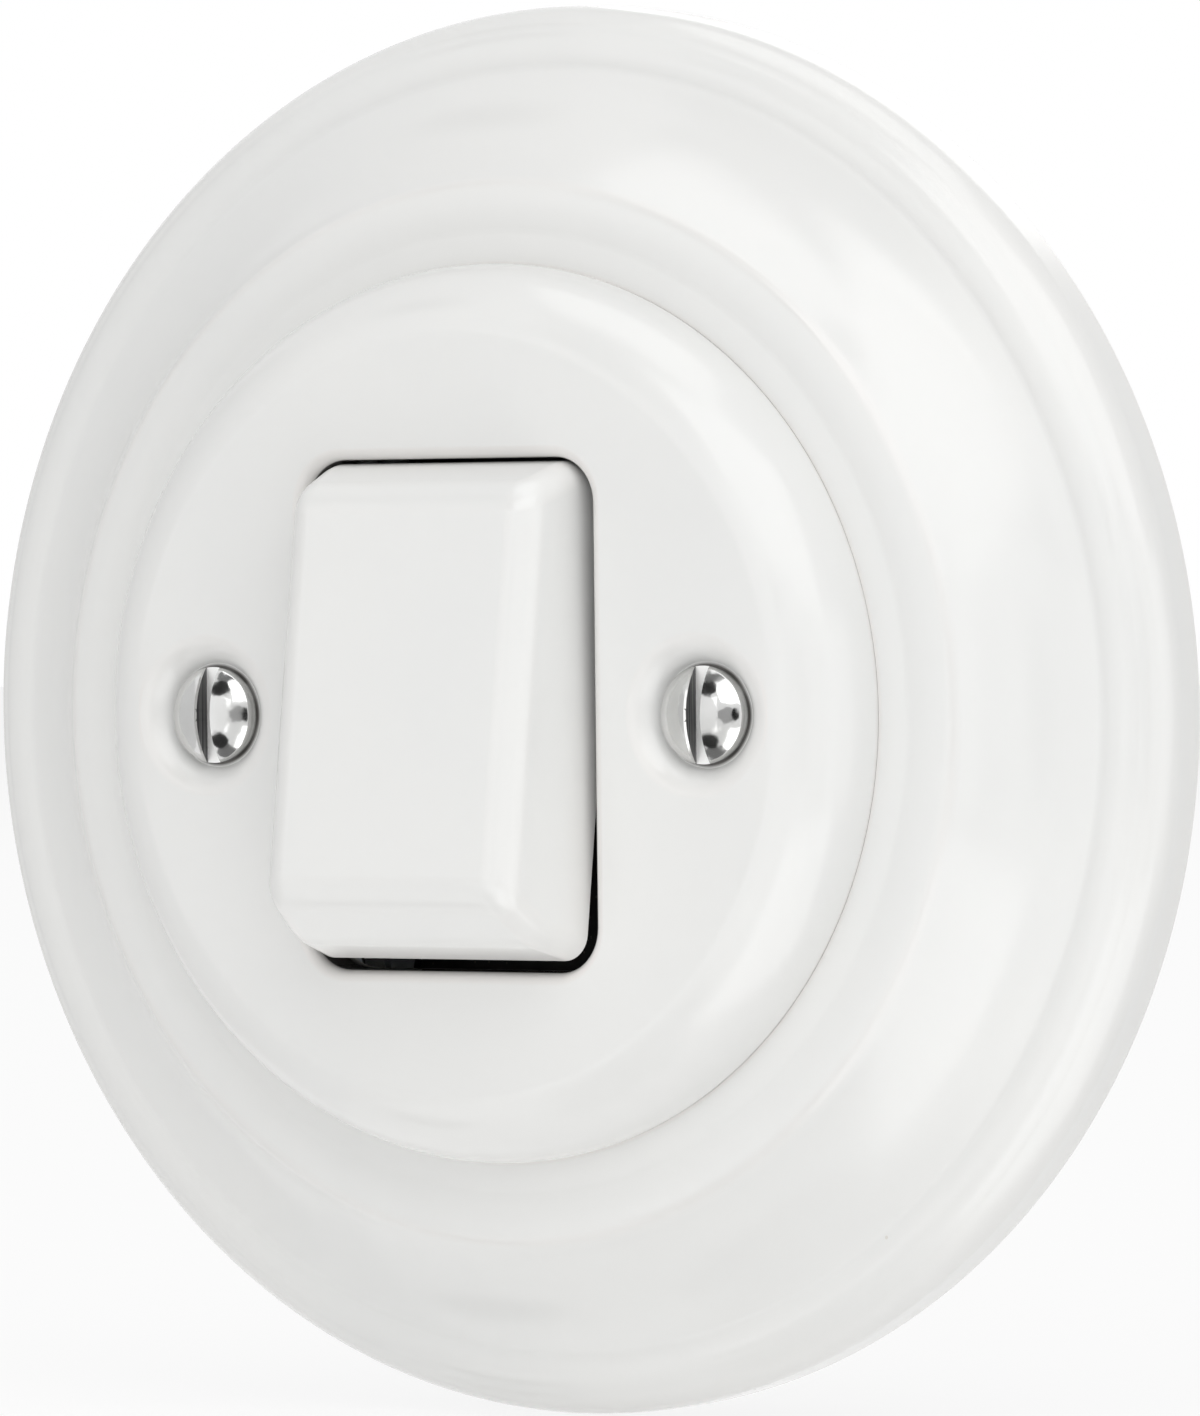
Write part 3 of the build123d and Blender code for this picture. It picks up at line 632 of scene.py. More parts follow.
class SurfaceGroups:
    """Shader groups that several finishes share, each made once."""

    def __init__(self) -> None:
        """Make the groups."""
        self.drift = self._drift()
        self.relief = self._relief()
        self.marks = self._marks()
        self.specks = self._specks()

    @staticmethod
    def _start(
        name: str, inputs: list[GroupSocket], outputs: list[GroupSocket]
    ) -> tuple[NodeBench, bpy.types.Node, bpy.types.Node]:
        """Make an empty group with its sockets.

        Args:
            name: Name of the group.
            inputs: Its inputs after the vector, which every group takes.
            outputs: Its outputs.

        Returns:
            The bench, the input node and the output node.
        """
        tree = bpy.data.node_groups.new(name, "ShaderNodeTree")
        taken = [GroupSocket("Vector", SocketKind.VECTOR), *inputs]
        for sockets, way in ((taken, "INPUT"), (outputs, "OUTPUT")):
            for made in sockets:
                socket = tree.interface.new_socket(
                    made.name, in_out=way, socket_type=made.kind.value
                )
                if made.value is not None:
                    socket.default_value = made.value
        bench = NodeBench(tree)
        return bench, bench.add("NodeGroupInput"), bench.add("NodeGroupOutput")

    def _drift(self) -> bpy.types.NodeTree:
        """Make the group of slow colour drift over a surface.

        Returns:
            The group.
        """
        bench, taken, given = self._start(
            "tone_drift",
            [
                GroupSocket("Scale", value=40.0),
                GroupSocket("Tone A", SocketKind.COLOUR),
                GroupSocket("Tone B", SocketKind.COLOUR),
            ],
            [GroupSocket("Color", SocketKind.COLOUR), GroupSocket("Mask")],
        )
        cloud = bench.add("ShaderNodeTexNoise")
        bench.tune(cloud, Detail=4.0)
        bench.feed(taken, cloud, "Vector", "Scale")
        spread = bench.add("ShaderNodeMapRange", interpolation_type="SMOOTHSTEP")
        bench.tune(spread, From_Min=0.35, From_Max=0.65)
        bench.join(cloud.outputs["Fac"], spread.inputs["Value"])
        share = spread.outputs["Result"]
        tone = bench.blend(share, taken.outputs["Tone A"], taken.outputs["Tone B"])
        bench.join(tone, given.inputs["Color"])
        bench.join(share, given.inputs["Mask"])
        return bench.tree

    def _relief(self) -> bpy.types.NodeTree:
        """Make the group of fine relief with a roughness that follows it.

        Returns:
            The group.
        """
        bench, taken, given = self._start(
            "fine_relief",
            [
                GroupSocket("Scale", value=200.0),
                GroupSocket("Smoothest", value=0.1),
                GroupSocket("Roughest", value=0.2),
            ],
            [GroupSocket("Roughness"), GroupSocket("Height")],
        )
        ripple = bench.add("ShaderNodeTexNoise")
        bench.tune(ripple, Detail=2.0)
        bench.feed(taken, ripple, "Vector", "Scale")
        spread = bench.add("ShaderNodeMapRange")
        bench.tune(spread, From_Min=0.3, From_Max=0.7)
        bench.join(ripple.outputs["Fac"], spread.inputs["Value"])
        bench.join(taken.outputs["Smoothest"], spread.inputs["To Min"])
        bench.join(taken.outputs["Roughest"], spread.inputs["To Max"])
        bench.join(spread.outputs["Result"], given.inputs["Roughness"])
        bench.join(ripple.outputs["Fac"], given.inputs["Height"])
        return bench.tree

    def _marks(self) -> bpy.types.NodeTree:
        """Make the group of fine tool marks along a stretched direction.

        Returns:
            The group.
        """
        bench, taken, given = self._start(
            "tool_marks",
            [GroupSocket("Stretch", SocketKind.VECTOR), GroupSocket("Depth", value=0.5)],
            [GroupSocket("Height"), GroupSocket("Mask")],
        )
        drawn = bench.add("ShaderNodeVectorMath", operation="MULTIPLY")
        bench.join(taken.outputs["Vector"], drawn.inputs[0])
        bench.join(taken.outputs["Stretch"], drawn.inputs[1])
        lines = bench.add("ShaderNodeTexNoise")
        bench.tune(lines, Scale=1.0, Detail=5.0, Roughness=0.65)
        bench.feed(drawn, lines, "Vector")
        depth = bench.maths("MULTIPLY", lines.outputs["Fac"], taken.outputs["Depth"])
        bench.join(depth, given.inputs["Height"])
        bench.join(lines.outputs["Fac"], given.inputs["Mask"])
        return bench.tree

    def _specks(self) -> bpy.types.NodeTree:
        """Make the group of small stray specks.

        Returns:
            The group.
        """
        bench, taken, given = self._start(
            "stray_specks",
            [GroupSocket("Scale", value=100.0), GroupSocket("Size", value=0.02)],
            [GroupSocket("Mask")],
        )
        cells = bench.add("ShaderNodeTexVoronoi", feature="F1")
        bench.feed(taken, cells, "Vector", "Scale")
        speck = bench.maths("LESS_THAN", cells.outputs["Distance"], taken.outputs["Size"])
        bench.join(speck, given.inputs["Mask"])
        return bench.tree


class FinishBench(NodeBench):
    """Builds the node tree of one finish round its shader."""

    def __init__(self, name: str, groups: SurfaceGroups) -> None:
        """Make the material and its shader.

        Args:
            name: Name of the material.
            groups: Groups that finishes share.
        """
        self.material = bpy.data.materials.new(name)
        self.material.use_nodes = True
        super().__init__(self.material.node_tree)
        self.groups = groups
        self.shader = self.add("ShaderNodeBsdfPrincipled")
        out = self.add("ShaderNodeOutputMaterial")
        self.join(self.shader.outputs["BSDF"], out.inputs["Surface"])
        self.place = self.add("ShaderNodeTexCoord").outputs["Object"]

    def group(self, tree: bpy.types.NodeTree, **values: object) -> bpy.types.Node:
        """Place a surface group and set its values.

        Args:
            tree: The group.
            **values: Its inputs by name, with _ for a blank.

        Returns:
            The group's node.
        """
        node = self.add("ShaderNodeGroup", node_tree=tree)
        self.join(self.place, node.inputs["Vector"])
        self.tune(node, **values)
        return node

    def drift(self, scale: float, first: Colour, second: Colour) -> bpy.types.NodeSocket:
        """Return the socket of a colour that drifts between two tones over the surface."""
        tones = {"Tone_A": (*first, 1.0), "Tone_B": (*second, 1.0)}
        return self.group(self.groups.drift, Scale=scale, **tones).outputs["Color"]

    def relief(self, scale: float, smoothest: float, roughest: float) -> bpy.types.Node:
        """Place the fine relief, with the lowest and the highest roughness, and return its node."""
        tree = self.groups.relief
        return self.group(tree, Scale=scale, Smoothest=smoothest, Roughest=roughest)

    def mask(self, attribute: str) -> bpy.types.NodeSocket:
        """Return the socket of a mask that a piece's mesh carries as an attribute."""
        return self.add("ShaderNodeAttribute", attribute_name=attribute).outputs["Fac"]

    def shade(self, name: str, source: bpy.types.NodeSocket) -> None:
        """Join a socket to the shader's input of this name."""
        self.join(source, self.shader.inputs[name])

    def bump(self, height: bpy.types.NodeSocket, strength: float, distance: float) -> None:
        """Let a height move the shader's normal.

        Args:
            height: Socket of the height.
            strength: How strongly it acts.
            distance: Its depth in metres.
        """
        node = self.add("ShaderNodeBump")
        self.tune(node, Strength=strength, Distance=distance)
        self.join(height, node.inputs["Height"])
        self.shade("Normal", node.outputs["Normal"])


@dataclass(frozen=True)
class Glaze:
    """White porcelain glaze, warmer over tight edges, with slow ripple, kiln specks and painted
    shade.
    """

    name: str = "white_glaze"
    tone: Colour = (0.800, 0.800, 0.786)
    pooled: Colour = (0.785, 0.787, 0.776)
    pool_scale: float = 38.0
    thin: Colour = (0.800, 0.768, 0.742)
    thin_share: float = 0.55
    # Painted shade: near black on the upper wall of the opening and round the screw seats, where
    # these recesses lie in shade.
    painted_shade: Colour = (0.10, 0.095, 0.09)
    speck: Colour = (0.71, 0.69, 0.65)
    speck_scale: float = 75.0
    speck_size: float = 0.010
    smoothest: float = 0.15
    roughest: float = 0.21
    ripple_scale: float = 90.0
    ripple_depth: float = 0.00018
    ripple_strength: float = 0.06
    ior: float = 1.5

    def material(self, groups: SurfaceGroups) -> bpy.types.Material:
        """Make the material.

        Args:
            groups: Groups that finishes share.

        Returns:
            The material.
        """
        bench = FinishBench(self.name, groups)
        glazed = bench.drift(self.pool_scale, self.tone, self.pooled)
        share = bench.maths("MULTIPLY", bench.mask("thin_glaze"), self.thin_share)
        glazed = bench.blend(share, glazed, self.thin)
        # Painted shade: the near-black tone is laid where the disc marks its shaded recesses.
        glazed = bench.blend(bench.mask("painted_shade"), glazed, self.painted_shade)
        specks = bench.group(groups.specks, Scale=self.speck_scale, Size=self.speck_size)
        bench.shade("Base Color", bench.blend(specks.outputs["Mask"], glazed, self.speck))
        relief = bench.relief(self.ripple_scale, self.smoothest, self.roughest)
        bench.shade("Roughness", relief.outputs["Roughness"])
        bench.bump(relief.outputs["Height"], self.ripple_strength, self.ripple_depth)
        bench.tune(bench.shader, IOR=self.ior)
        return bench.material


@dataclass(frozen=True)
class Metal:
    """Bare or plated metal with slow tarnish, tool marks, worn dents, and painted shade and light
    in slots.
    """

    name: str
    tone: Colour
    tarnish: Colour
    smoothest: float
    roughest: float
    grain: Grain
    mark_scale: float
    mark_strength: float
    mark_length: float = 25.0
    drift_scale: float = 160.0
    # Painted shade on the slot's walls, streaked with painted light along real tool marks, and
    # painted light on its floor.
    slot_wall_shade: Colour = (0.03, 0.03, 0.03)
    slot_streak_light: Colour = (0.95, 0.95, 0.95)
    slot_floor_light: Colour = (0.98, 0.98, 0.97)
    milled_rough: float = 0.5
    streak: Point = (60.0, 4500.0, 60.0)
    streak_power: float = 3.0
    dent: float = 0.0
    dent_scale: float = 620.0
    relief_depth: float = 0.00004

    def stretch(self) -> Point:
        """Work out how the tool marks are stretched.

        Returns:
            Factors along X, Y and Z.
        """
        long = self.mark_scale / self.mark_length
        return {
            Grain.TURNED: (long, self.mark_scale, long),
            Grain.DRAWN: (self.mark_scale, self.mark_scale, long),
            Grain.ROLLED: (long, self.mark_scale, self.mark_scale),
        }[self.grain]

    def material(self, groups: SurfaceGroups) -> bpy.types.Material:
        """Make the material.

        Args:
            groups: Groups that finishes share.

        Returns:
            The material.
        """
        bench = FinishBench(self.name, groups)
        tone = bench.drift(self.drift_scale, self.tone, self.tarnish)
        # The slot's walls get painted shade streaked with painted light along the tool marks, and
        # its floor painted light.
        streaks = bench.group(groups.marks, Stretch=self.streak)
        streak = bench.maths("POWER", streaks.outputs["Mask"], self.streak_power)
        wall_shade_streaks = bench.blend(streak, self.slot_wall_shade, self.slot_streak_light)
        tone = bench.blend(bench.mask("slot_wall"), tone, wall_shade_streaks)
        tone = bench.blend(bench.mask("slot_floor"), tone, self.slot_floor_light)
        bench.shade("Base Color", tone)
        relief = bench.relief(2 * self.drift_scale, self.smoothest, self.roughest)
        extra = bench.maths("MULTIPLY", bench.mask("slot"), self.milled_rough)
        bench.shade("Roughness", bench.maths("ADD", relief.outputs["Roughness"], extra))
        marks = bench.group(groups.marks, Stretch=self.stretch())
        dents = bench.group(groups.relief, Scale=self.dent_scale)
        height = bench.maths(
            "ADD", bench.maths("MULTIPLY", marks.outputs["Height"], self.mark_strength),
            bench.maths("MULTIPLY", dents.outputs["Height"], self.dent),
        )
        bench.bump(height, 1.0, self.relief_depth)
        bench.tune(bench.shader, Metallic=1.0)
        return bench.material


@dataclass(frozen=True)
class Moulding:
    """Black moulded insulator with a faint mottle and a fine mould grain."""

    name: str = "black_moulding"
    tone: Colour = (0.016, 0.015, 0.014)
    mottle: Colour = (0.026, 0.024, 0.022)
    mottle_scale: float = 420.0
    fleck: Colour = (0.060, 0.053, 0.045)
    fleck_scale: float = 1500.0
    fleck_size: float = 0.16
    smoothest: float = 0.32
    roughest: float = 0.48
    grain_scale: float = 900.0
    grain_strength: float = 0.18
    grain_depth: float = 0.00008
    specular: float = 0.25

    def material(self, groups: SurfaceGroups) -> bpy.types.Material:
        """Make the material.

        Args:
            groups: Groups that finishes share.

        Returns:
            The material.
        """
        bench = FinishBench(self.name, groups)
        tone = bench.drift(self.mottle_scale, self.tone, self.mottle)
        flecks = bench.group(groups.specks, Scale=self.fleck_scale, Size=self.fleck_size)
        bench.shade("Base Color", bench.blend(flecks.outputs["Mask"], tone, self.fleck))
        relief = bench.relief(self.grain_scale, self.smoothest, self.roughest)
        bench.shade("Roughness", relief.outputs["Roughness"])
        bench.bump(relief.outputs["Height"], self.grain_strength, self.grain_depth)
        bench.tune(bench.shader, Specular_IOR_Level=self.specular)
        return bench.material


class FinishShelf:
    """Makes the material of each finish slot."""

    def __init__(self) -> None:
        """Make the shared groups and the materials."""
        groups = SurfaceGroups()
        finishes = {
            Slot.NICKEL: Metal(
                "polished_nickel", tone=(0.72, 0.72, 0.715), tarnish=(0.60, 0.60, 0.59),
                smoothest=0.08, roughest=0.16, grain=Grain.TURNED,
                mark_scale=1800.0, mark_strength=0.05, dent=1.3,
            ),
            Slot.ZINC_STEEL: Metal(
                "zinc_plate", tone=(0.60, 0.61, 0.63), tarnish=(0.49, 0.51, 0.54),
                smoothest=0.26, roughest=0.42, grain=Grain.ROLLED,
                mark_scale=2200.0, mark_strength=0.10,
            ),
            Slot.BRASS: Metal(
                "plain_brass", tone=(0.72, 0.54, 0.25), tarnish=(0.58, 0.41, 0.18),
                smoothest=0.20, roughest=0.34, grain=Grain.DRAWN,
                mark_scale=2600.0, mark_strength=0.14,
            ),
            Slot.SILVER: Metal(
                "satin_silver", tone=(0.84, 0.83, 0.80), tarnish=(0.70, 0.68, 0.64),
                smoothest=0.24, roughest=0.36, grain=Grain.TURNED,
                mark_scale=3000.0, mark_strength=0.10,
            ),
            Slot.SPRING_STEEL: Metal(
                "drawn_spring_wire", tone=(0.50, 0.50, 0.51), tarnish=(0.40, 0.40, 0.41),
                smoothest=0.22, roughest=0.34, grain=Grain.DRAWN,
                mark_scale=3500.0, mark_strength=0.12,
            ),
            Slot.PORCELAIN: Glaze(),
            Slot.INSULATOR: Moulding(),
        }
        self.materials = {slot: finish.material(groups) for slot, finish in finishes.items()}

    def get(self, slot: Slot) -> bpy.types.Material:
        """Return the material of a slot."""
        return self.materials[slot]


class FrontPiece:
    """A piece of the front, which stands for one CAD node."""

    node: ClassVar[str]
    body: ClassVar[Body] = Body.INSERT
    slot: ClassVar[Slot] = Slot.PORCELAIN

    def dress(self, piece: bpy.types.Object, shelf: FinishShelf) -> None:
        """Finish the piece from the shelf and let it stand for its node."""
        place_piece(piece, self.body, self.node, shelf.get(self.slot))


@dataclass
class OuterFrame(FrontPiece):
    """Moulded porcelain ring on the wall. Sizes are in millimetres, heights are off the wall."""

    node: ClassVar[str] = "outer_frame"
    radius: float = field(default_factory=lambda: reach_x("outer_frame"))
    disc_r: float = field(default_factory=lambda: reach_x("cover_disc"))
    foot_chamfer: float = 0.4
    foot_width: float = 4.8
    rim_side_h: float = 2.7
    rim_round: float = 2.7
    rim_sweep: float = 65.0
    rim_steps: int = 12
    band_width: float = 2.9
    band_rise: float = 0.8
    band_crown: float = 0.35
    band_steps: int = 10
    cavetto_dip: float = 0.9
    cavetto_steps: int = 32
    bead_width: float = 3.55
    bead_foot_rise: float = 0.5
    bead_foot_reach: float = 1.3
    bead_foot_ease: int = 3
    bead_crest_rise: float = 0.85
    bead_steps: int = 12
    land_width: float = 2.3
    land_rise: float = 0.75
    land_lean: float = 0.15
    land_tuck: float = 0.05
    land_steps: int = 8
    seat_h: float = SEAT_H
    bore_r: float = BORE_R
    flange: float = 4.6
    shell_inner_h: float = 7.2
    shell_edge_h: float = 1.7
    shell_turn: float = 7.5
    edge_soft: float = 0.25
    edge_steps: int = 2
    thin_bends: Span = (0.25, 1.6)
    sharp: float = 40.0
    turns: int = 256

    def rim_point(self, share: float) -> Place:
        """Work out a point on the rim's round.

        Args:
            share: Share of the round's sweep, from the rim's side.

        Returns:
            Its radius and height.
        """
        turn = math.radians(self.rim_sweep) * share
        across, up = self.rim_round * math.cos(turn), self.rim_round * math.sin(turn)
        return self.radius - self.rim_round + across, self.rim_side_h + up

    def draw(self, bm: bmesh.types.BMesh) -> None:
        """Draw the ring's section over the front and back to the foot, and ease the bead's foot.

        Args:
            bm: Empty mesh.
        """
        crease = self.rim_point(1.0)
        band_end = (crease[0] - self.band_width, crease[1] + self.band_rise)
        bead_inner = (self.disc_r + self.land_width, self.seat_h + self.land_rise)
        bead_foot = (bead_inner[0] + self.bead_width, self.seat_h + self.bead_foot_rise)
        crest = (bead_inner[0] + self.bead_width / 2, self.seat_h + self.bead_crest_rise)
        land_end = (self.disc_r - self.land_tuck, bead_inner[1] + self.land_lean)
        foot_r = self.radius - self.foot_width
        pen = SectionPen(bm, self.radius, self.rim_side_h)
        pen.arc_through(self.rim_point(0.5), crease, self.rim_steps)
        pen.bow_to(*band_end, self.band_crown, self.band_steps)
        pen.bow_to(*bead_foot, -self.cavetto_dip, self.cavetto_steps)
        pen.arc_through(crest, bead_inner, self.bead_steps)
        pen.line_to(*land_end, self.land_steps)
        for place in (
            (self.disc_r - 2 * self.land_tuck, self.seat_h),
            (self.bore_r, self.seat_h),
            (self.bore_r, self.seat_h - self.flange),
            (self.bore_r + self.shell_turn, self.shell_inner_h),
            (foot_r - self.shell_edge_h, self.shell_edge_h),
            (foot_r, 0.0),
            (self.radius - self.foot_chamfer, 0.0),
            (self.radius, self.foot_chamfer),
        ):
            pen.line_to(*place)
        pen.close()
        pen.ease(bead_foot, self.bead_foot_reach, self.bead_foot_ease)

    def build(self) -> bpy.types.Object:
        """Turn the ring's section and soften its hidden edges.

        Returns:
            The ring.
        """
        bm = bmesh.new()
        self.draw(bm)
        turn_section(bm, self.turns)
        for place in (
            (self.radius - self.foot_width, 0.0),
            (self.bore_r, self.seat_h),
            (self.bore_r, self.seat_h - self.flange),
        ):
            soften(bm, ring_edges(bm, *place), self.edge_soft, self.edge_steps)
        face_outwards(bm)
        mark_thin_glaze(bm, self.thin_bends)
        return make_piece(bm, "porcelain_outer_frame", self.sharp)


@dataclass
class CoverDisc(FrontPiece):
    """Porcelain disc with a round shoulder, the opening and two screw dimples, in millimetres."""

    node: ClassVar[str] = "cover_disc"
    radius: float = field(default_factory=lambda: reach_x("cover_disc"))
    face_h: float = field(default_factory=lambda: front_h("cover_disc"))
    shoulder_r: float = 5.95
    shoulder_steps: int = 18
    side: float = 0.1
    under_r: float = 1.3
    under_steps: int = 8
    wall: float = 4.2
    seat_h: float = SEAT_H
    bore_r: float = BORE_R
    spigot_clearance: float = 0.4
    spigot_length: float = 3.75
    spigot_wall: float = 3.0
    opening_x: float = 12.1
    opening_z: float = 17.9
    opening_corner: float = 3.2
    opening_round: float = 0.9
    round_steps: int = 7
    corner_steps: int = 12
    screw_x: float = SCREW_X
    dimple_r: float = 5.8
    dimple_seat_r: float = 3.7
    dimple_depth: float = SCREW_SEAT_DEPTH
    dimple_power: float = 2.2
    dimple_steps: int = 14
    dimple_turns: int = 72
    # Reach of the painted shade round the screw seats and down the opening's wall.
    painted_shade_r: float = 3.48
    painted_shade_depth: float = 2.4
    hole_r: float = 2.1
    boss_r: float = 3.8
    face_margin: float = 0.15
    thin_bends: Span = (0.14, 1.3)
    sharp: float = 42.0
    turns: int = 256

    def shoulder_h(self, radius: float) -> float:
        """Return the height of the face or the shoulder at this radius."""
        over = max(radius - (self.radius - self.shoulder_r), 0.0)
        return self.face_h - self.shoulder_r + math.sqrt(self.shoulder_r**2 - over**2)

    def back_h(self) -> float:
        """Return the height off the wall of the disc's back."""
        return self.face_h - self.wall

    def end_h(self) -> float:
        """Return the height off the wall of the ends of spigot and bosses."""
        return self.seat_h - self.spigot_length

    def dimple_path(self) -> list[Place]:
        """Work out the wall of a dimple, a dish that leaves the face softly and steepens inwards.

        Returns:
            Distances inwards and downwards along the wall.
        """
        run = self.dimple_r - self.dimple_seat_r
        shares = [step / self.dimple_steps for step in range(1, self.dimple_steps + 1)]
        return [(run * t, self.dimple_depth * t**self.dimple_power) for t in shares]

    def opening_path(self) -> list[Place]:
        """Work out the rounded edge of the opening.

        Returns:
            Distances inwards and downwards along the edge.
        """
        steps, size = self.round_steps, self.opening_round
        turns = [math.pi / 2 * step / steps for step in range(1, steps + 1)]
        return [(size * math.sin(t), size * (1 - math.cos(t))) for t in turns]

    def turn_shell(
        self, bm: bmesh.types.BMesh
    ) -> tuple[list[bmesh.types.BMEdge], list[bmesh.types.BMEdge]]:
        """Turn the shoulder and the spigot.

        Args:
            bm: Empty mesh.

        Returns:
            The outlines in which the face and the back are still open.
        """
        low_h = self.seat_h + self.under_r
        half = math.sin(math.pi / 4)
        spigot_r = self.bore_r - self.spigot_clearance
        inner_r = spigot_r - self.spigot_wall
        edge_r = self.screw_x + self.dimple_r + self.face_margin
        edge_h = self.shoulder_h(edge_r)
        bend_r = self.radius - self.shoulder_r * (1 - half)
        bend = (bend_r, self.shoulder_h(bend_r))
        under_r = self.radius - self.under_r
        under = (under_r + self.under_r * half, low_h - self.under_r * half)
        pen = SectionPen(bm, edge_r, edge_h)
        pen.arc_through(bend, (self.radius, low_h + self.side), self.shoulder_steps)
        pen.line_to(self.radius, low_h)
        pen.arc_through(under, (under_r, self.seat_h), self.under_steps)
        for place in (
            (spigot_r, self.seat_h), (spigot_r, self.end_h()),
            (inner_r, self.end_h()), (inner_r, self.back_h()),
        ):
            pen.line_to(*place)
        turn_section(bm, self.turns)
        return ring_edges(bm, edge_r, edge_h), ring_edges(bm, inner_r, self.back_h())

    def build(self) -> bpy.types.Object:
        """Turn shoulder and spigot, then fill face and back round the opening and the dimples.

        Returns:
            The disc.
        """
        bm = bmesh.new()
        face_edges, back_edges = self.turn_shell(bm)
        grow = self.opening_round
        opening = rounded_window(
            bm, self.opening_x + grow, self.opening_z + grow, self.opening_corner + grow,
            self.face_h, self.corner_steps,
        )
        dimples = [
            round_window(bm, self.dimple_r, x, self.face_h, self.dimple_turns)
            for x in (-self.screw_x, self.screw_x)
        ]
        for window in (opening, *dimples):
            face_edges += window.edges[:]
        fill_between(bm, face_edges)
        for dimple in dimples:
            for vert in dimple.verts:
                vert.co.y = -self.shoulder_h(math.hypot(vert.co.x, vert.co.z))
        # The first push sets how far down the opening's wall the painted shade reaches.
        opening = push(bm, sink(bm, opening, self.opening_path()), self.painted_shade_depth)
        opening = push(bm, opening, self.wall - self.opening_round - self.painted_shade_depth)
        back_edges += open_face(bm, opening)
        for dimple in dimples:
            back_edges += self.drill(bm, dimple)
        fill_between(bm, back_edges)
        weld(bm)
        face_outwards(bm)
        mark_thin_glaze(bm, self.thin_bends)
        # Painted shade: marks the opening's wall and the screw seats for the near-black glaze tone.
        self.mark_painted_shade(bm)
        return make_piece(bm, "porcelain_cover_disc", self.sharp)

    def mark_painted_shade(self, bm: bmesh.types.BMesh) -> None:
        """Mark the screw seats and the upper wall of the opening, for painted shade in these
        recesses.

        Args:
            bm: Mesh of the disc.
        """
        layer = bm.verts.layers.float.new("painted_shade")
        wall_h = self.face_h - self.opening_round
        for vert in bm.verts:
            x, depth, z = abs(vert.co.x), wall_h + vert.co.y, abs(vert.co.z)
            in_seat = math.hypot(x - self.screw_x, z) < self.painted_shade_r + PLACE_MM
            in_opening = x < self.opening_x + PLACE_MM and z < self.opening_z + PLACE_MM
            on_wall = -PLACE_MM < depth < self.painted_shade_depth + PLACE_MM
            # Painted shade on the screw seats and on the upper wall of the opening.
            vert[layer] = float(in_seat or (in_opening and on_wall))

    def drill(self, bm: bmesh.types.BMesh, dimple: bmesh.types.BMFace) -> list[bmesh.types.BMEdge]:
        """Sink a dimple, drill its hole and raise the boss round it on the back.

        Args:
            bm: Mesh of the disc.
            dimple: Face of the dimple.

        Returns:
            The boss's outline on the back.
        """
        painted_shade_in, hole_in = self.dimple_seat_r - self.painted_shade_r, self.dimple_seat_r - self.hole_r
        floor = sink(bm, dimple, self.dimple_path())
        # The first inset bounds the ring of painted shade round the screw head's seat.
        floor = sink(bm, floor, [(painted_shade_in, 0.0), (hole_in, 0.0)])
        floor = push(bm, floor, self.face_h - self.dimple_depth - self.end_h())
        centre = floor.calc_center_median()
        outline = open_face(bm, floor)
        boss_length = self.back_h() - self.end_h()
        for factor, lift in ((self.boss_r / self.hole_r, 0.0), (1.0, boss_length)):
            made = bmesh.ops.extrude_edge_only(bm, edges=outline)["geom"]
            verts = verts_in(made)
            bmesh.ops.scale(
                bm, vec=(factor, 1.0, factor), verts=verts, space=Matrix.Translation(-centre)
            )
            bmesh.ops.translate(bm, vec=(0.0, -lift, 0.0), verts=verts)
            outline = [e for e in made if isinstance(e, bmesh.types.BMEdge)]
        return outline


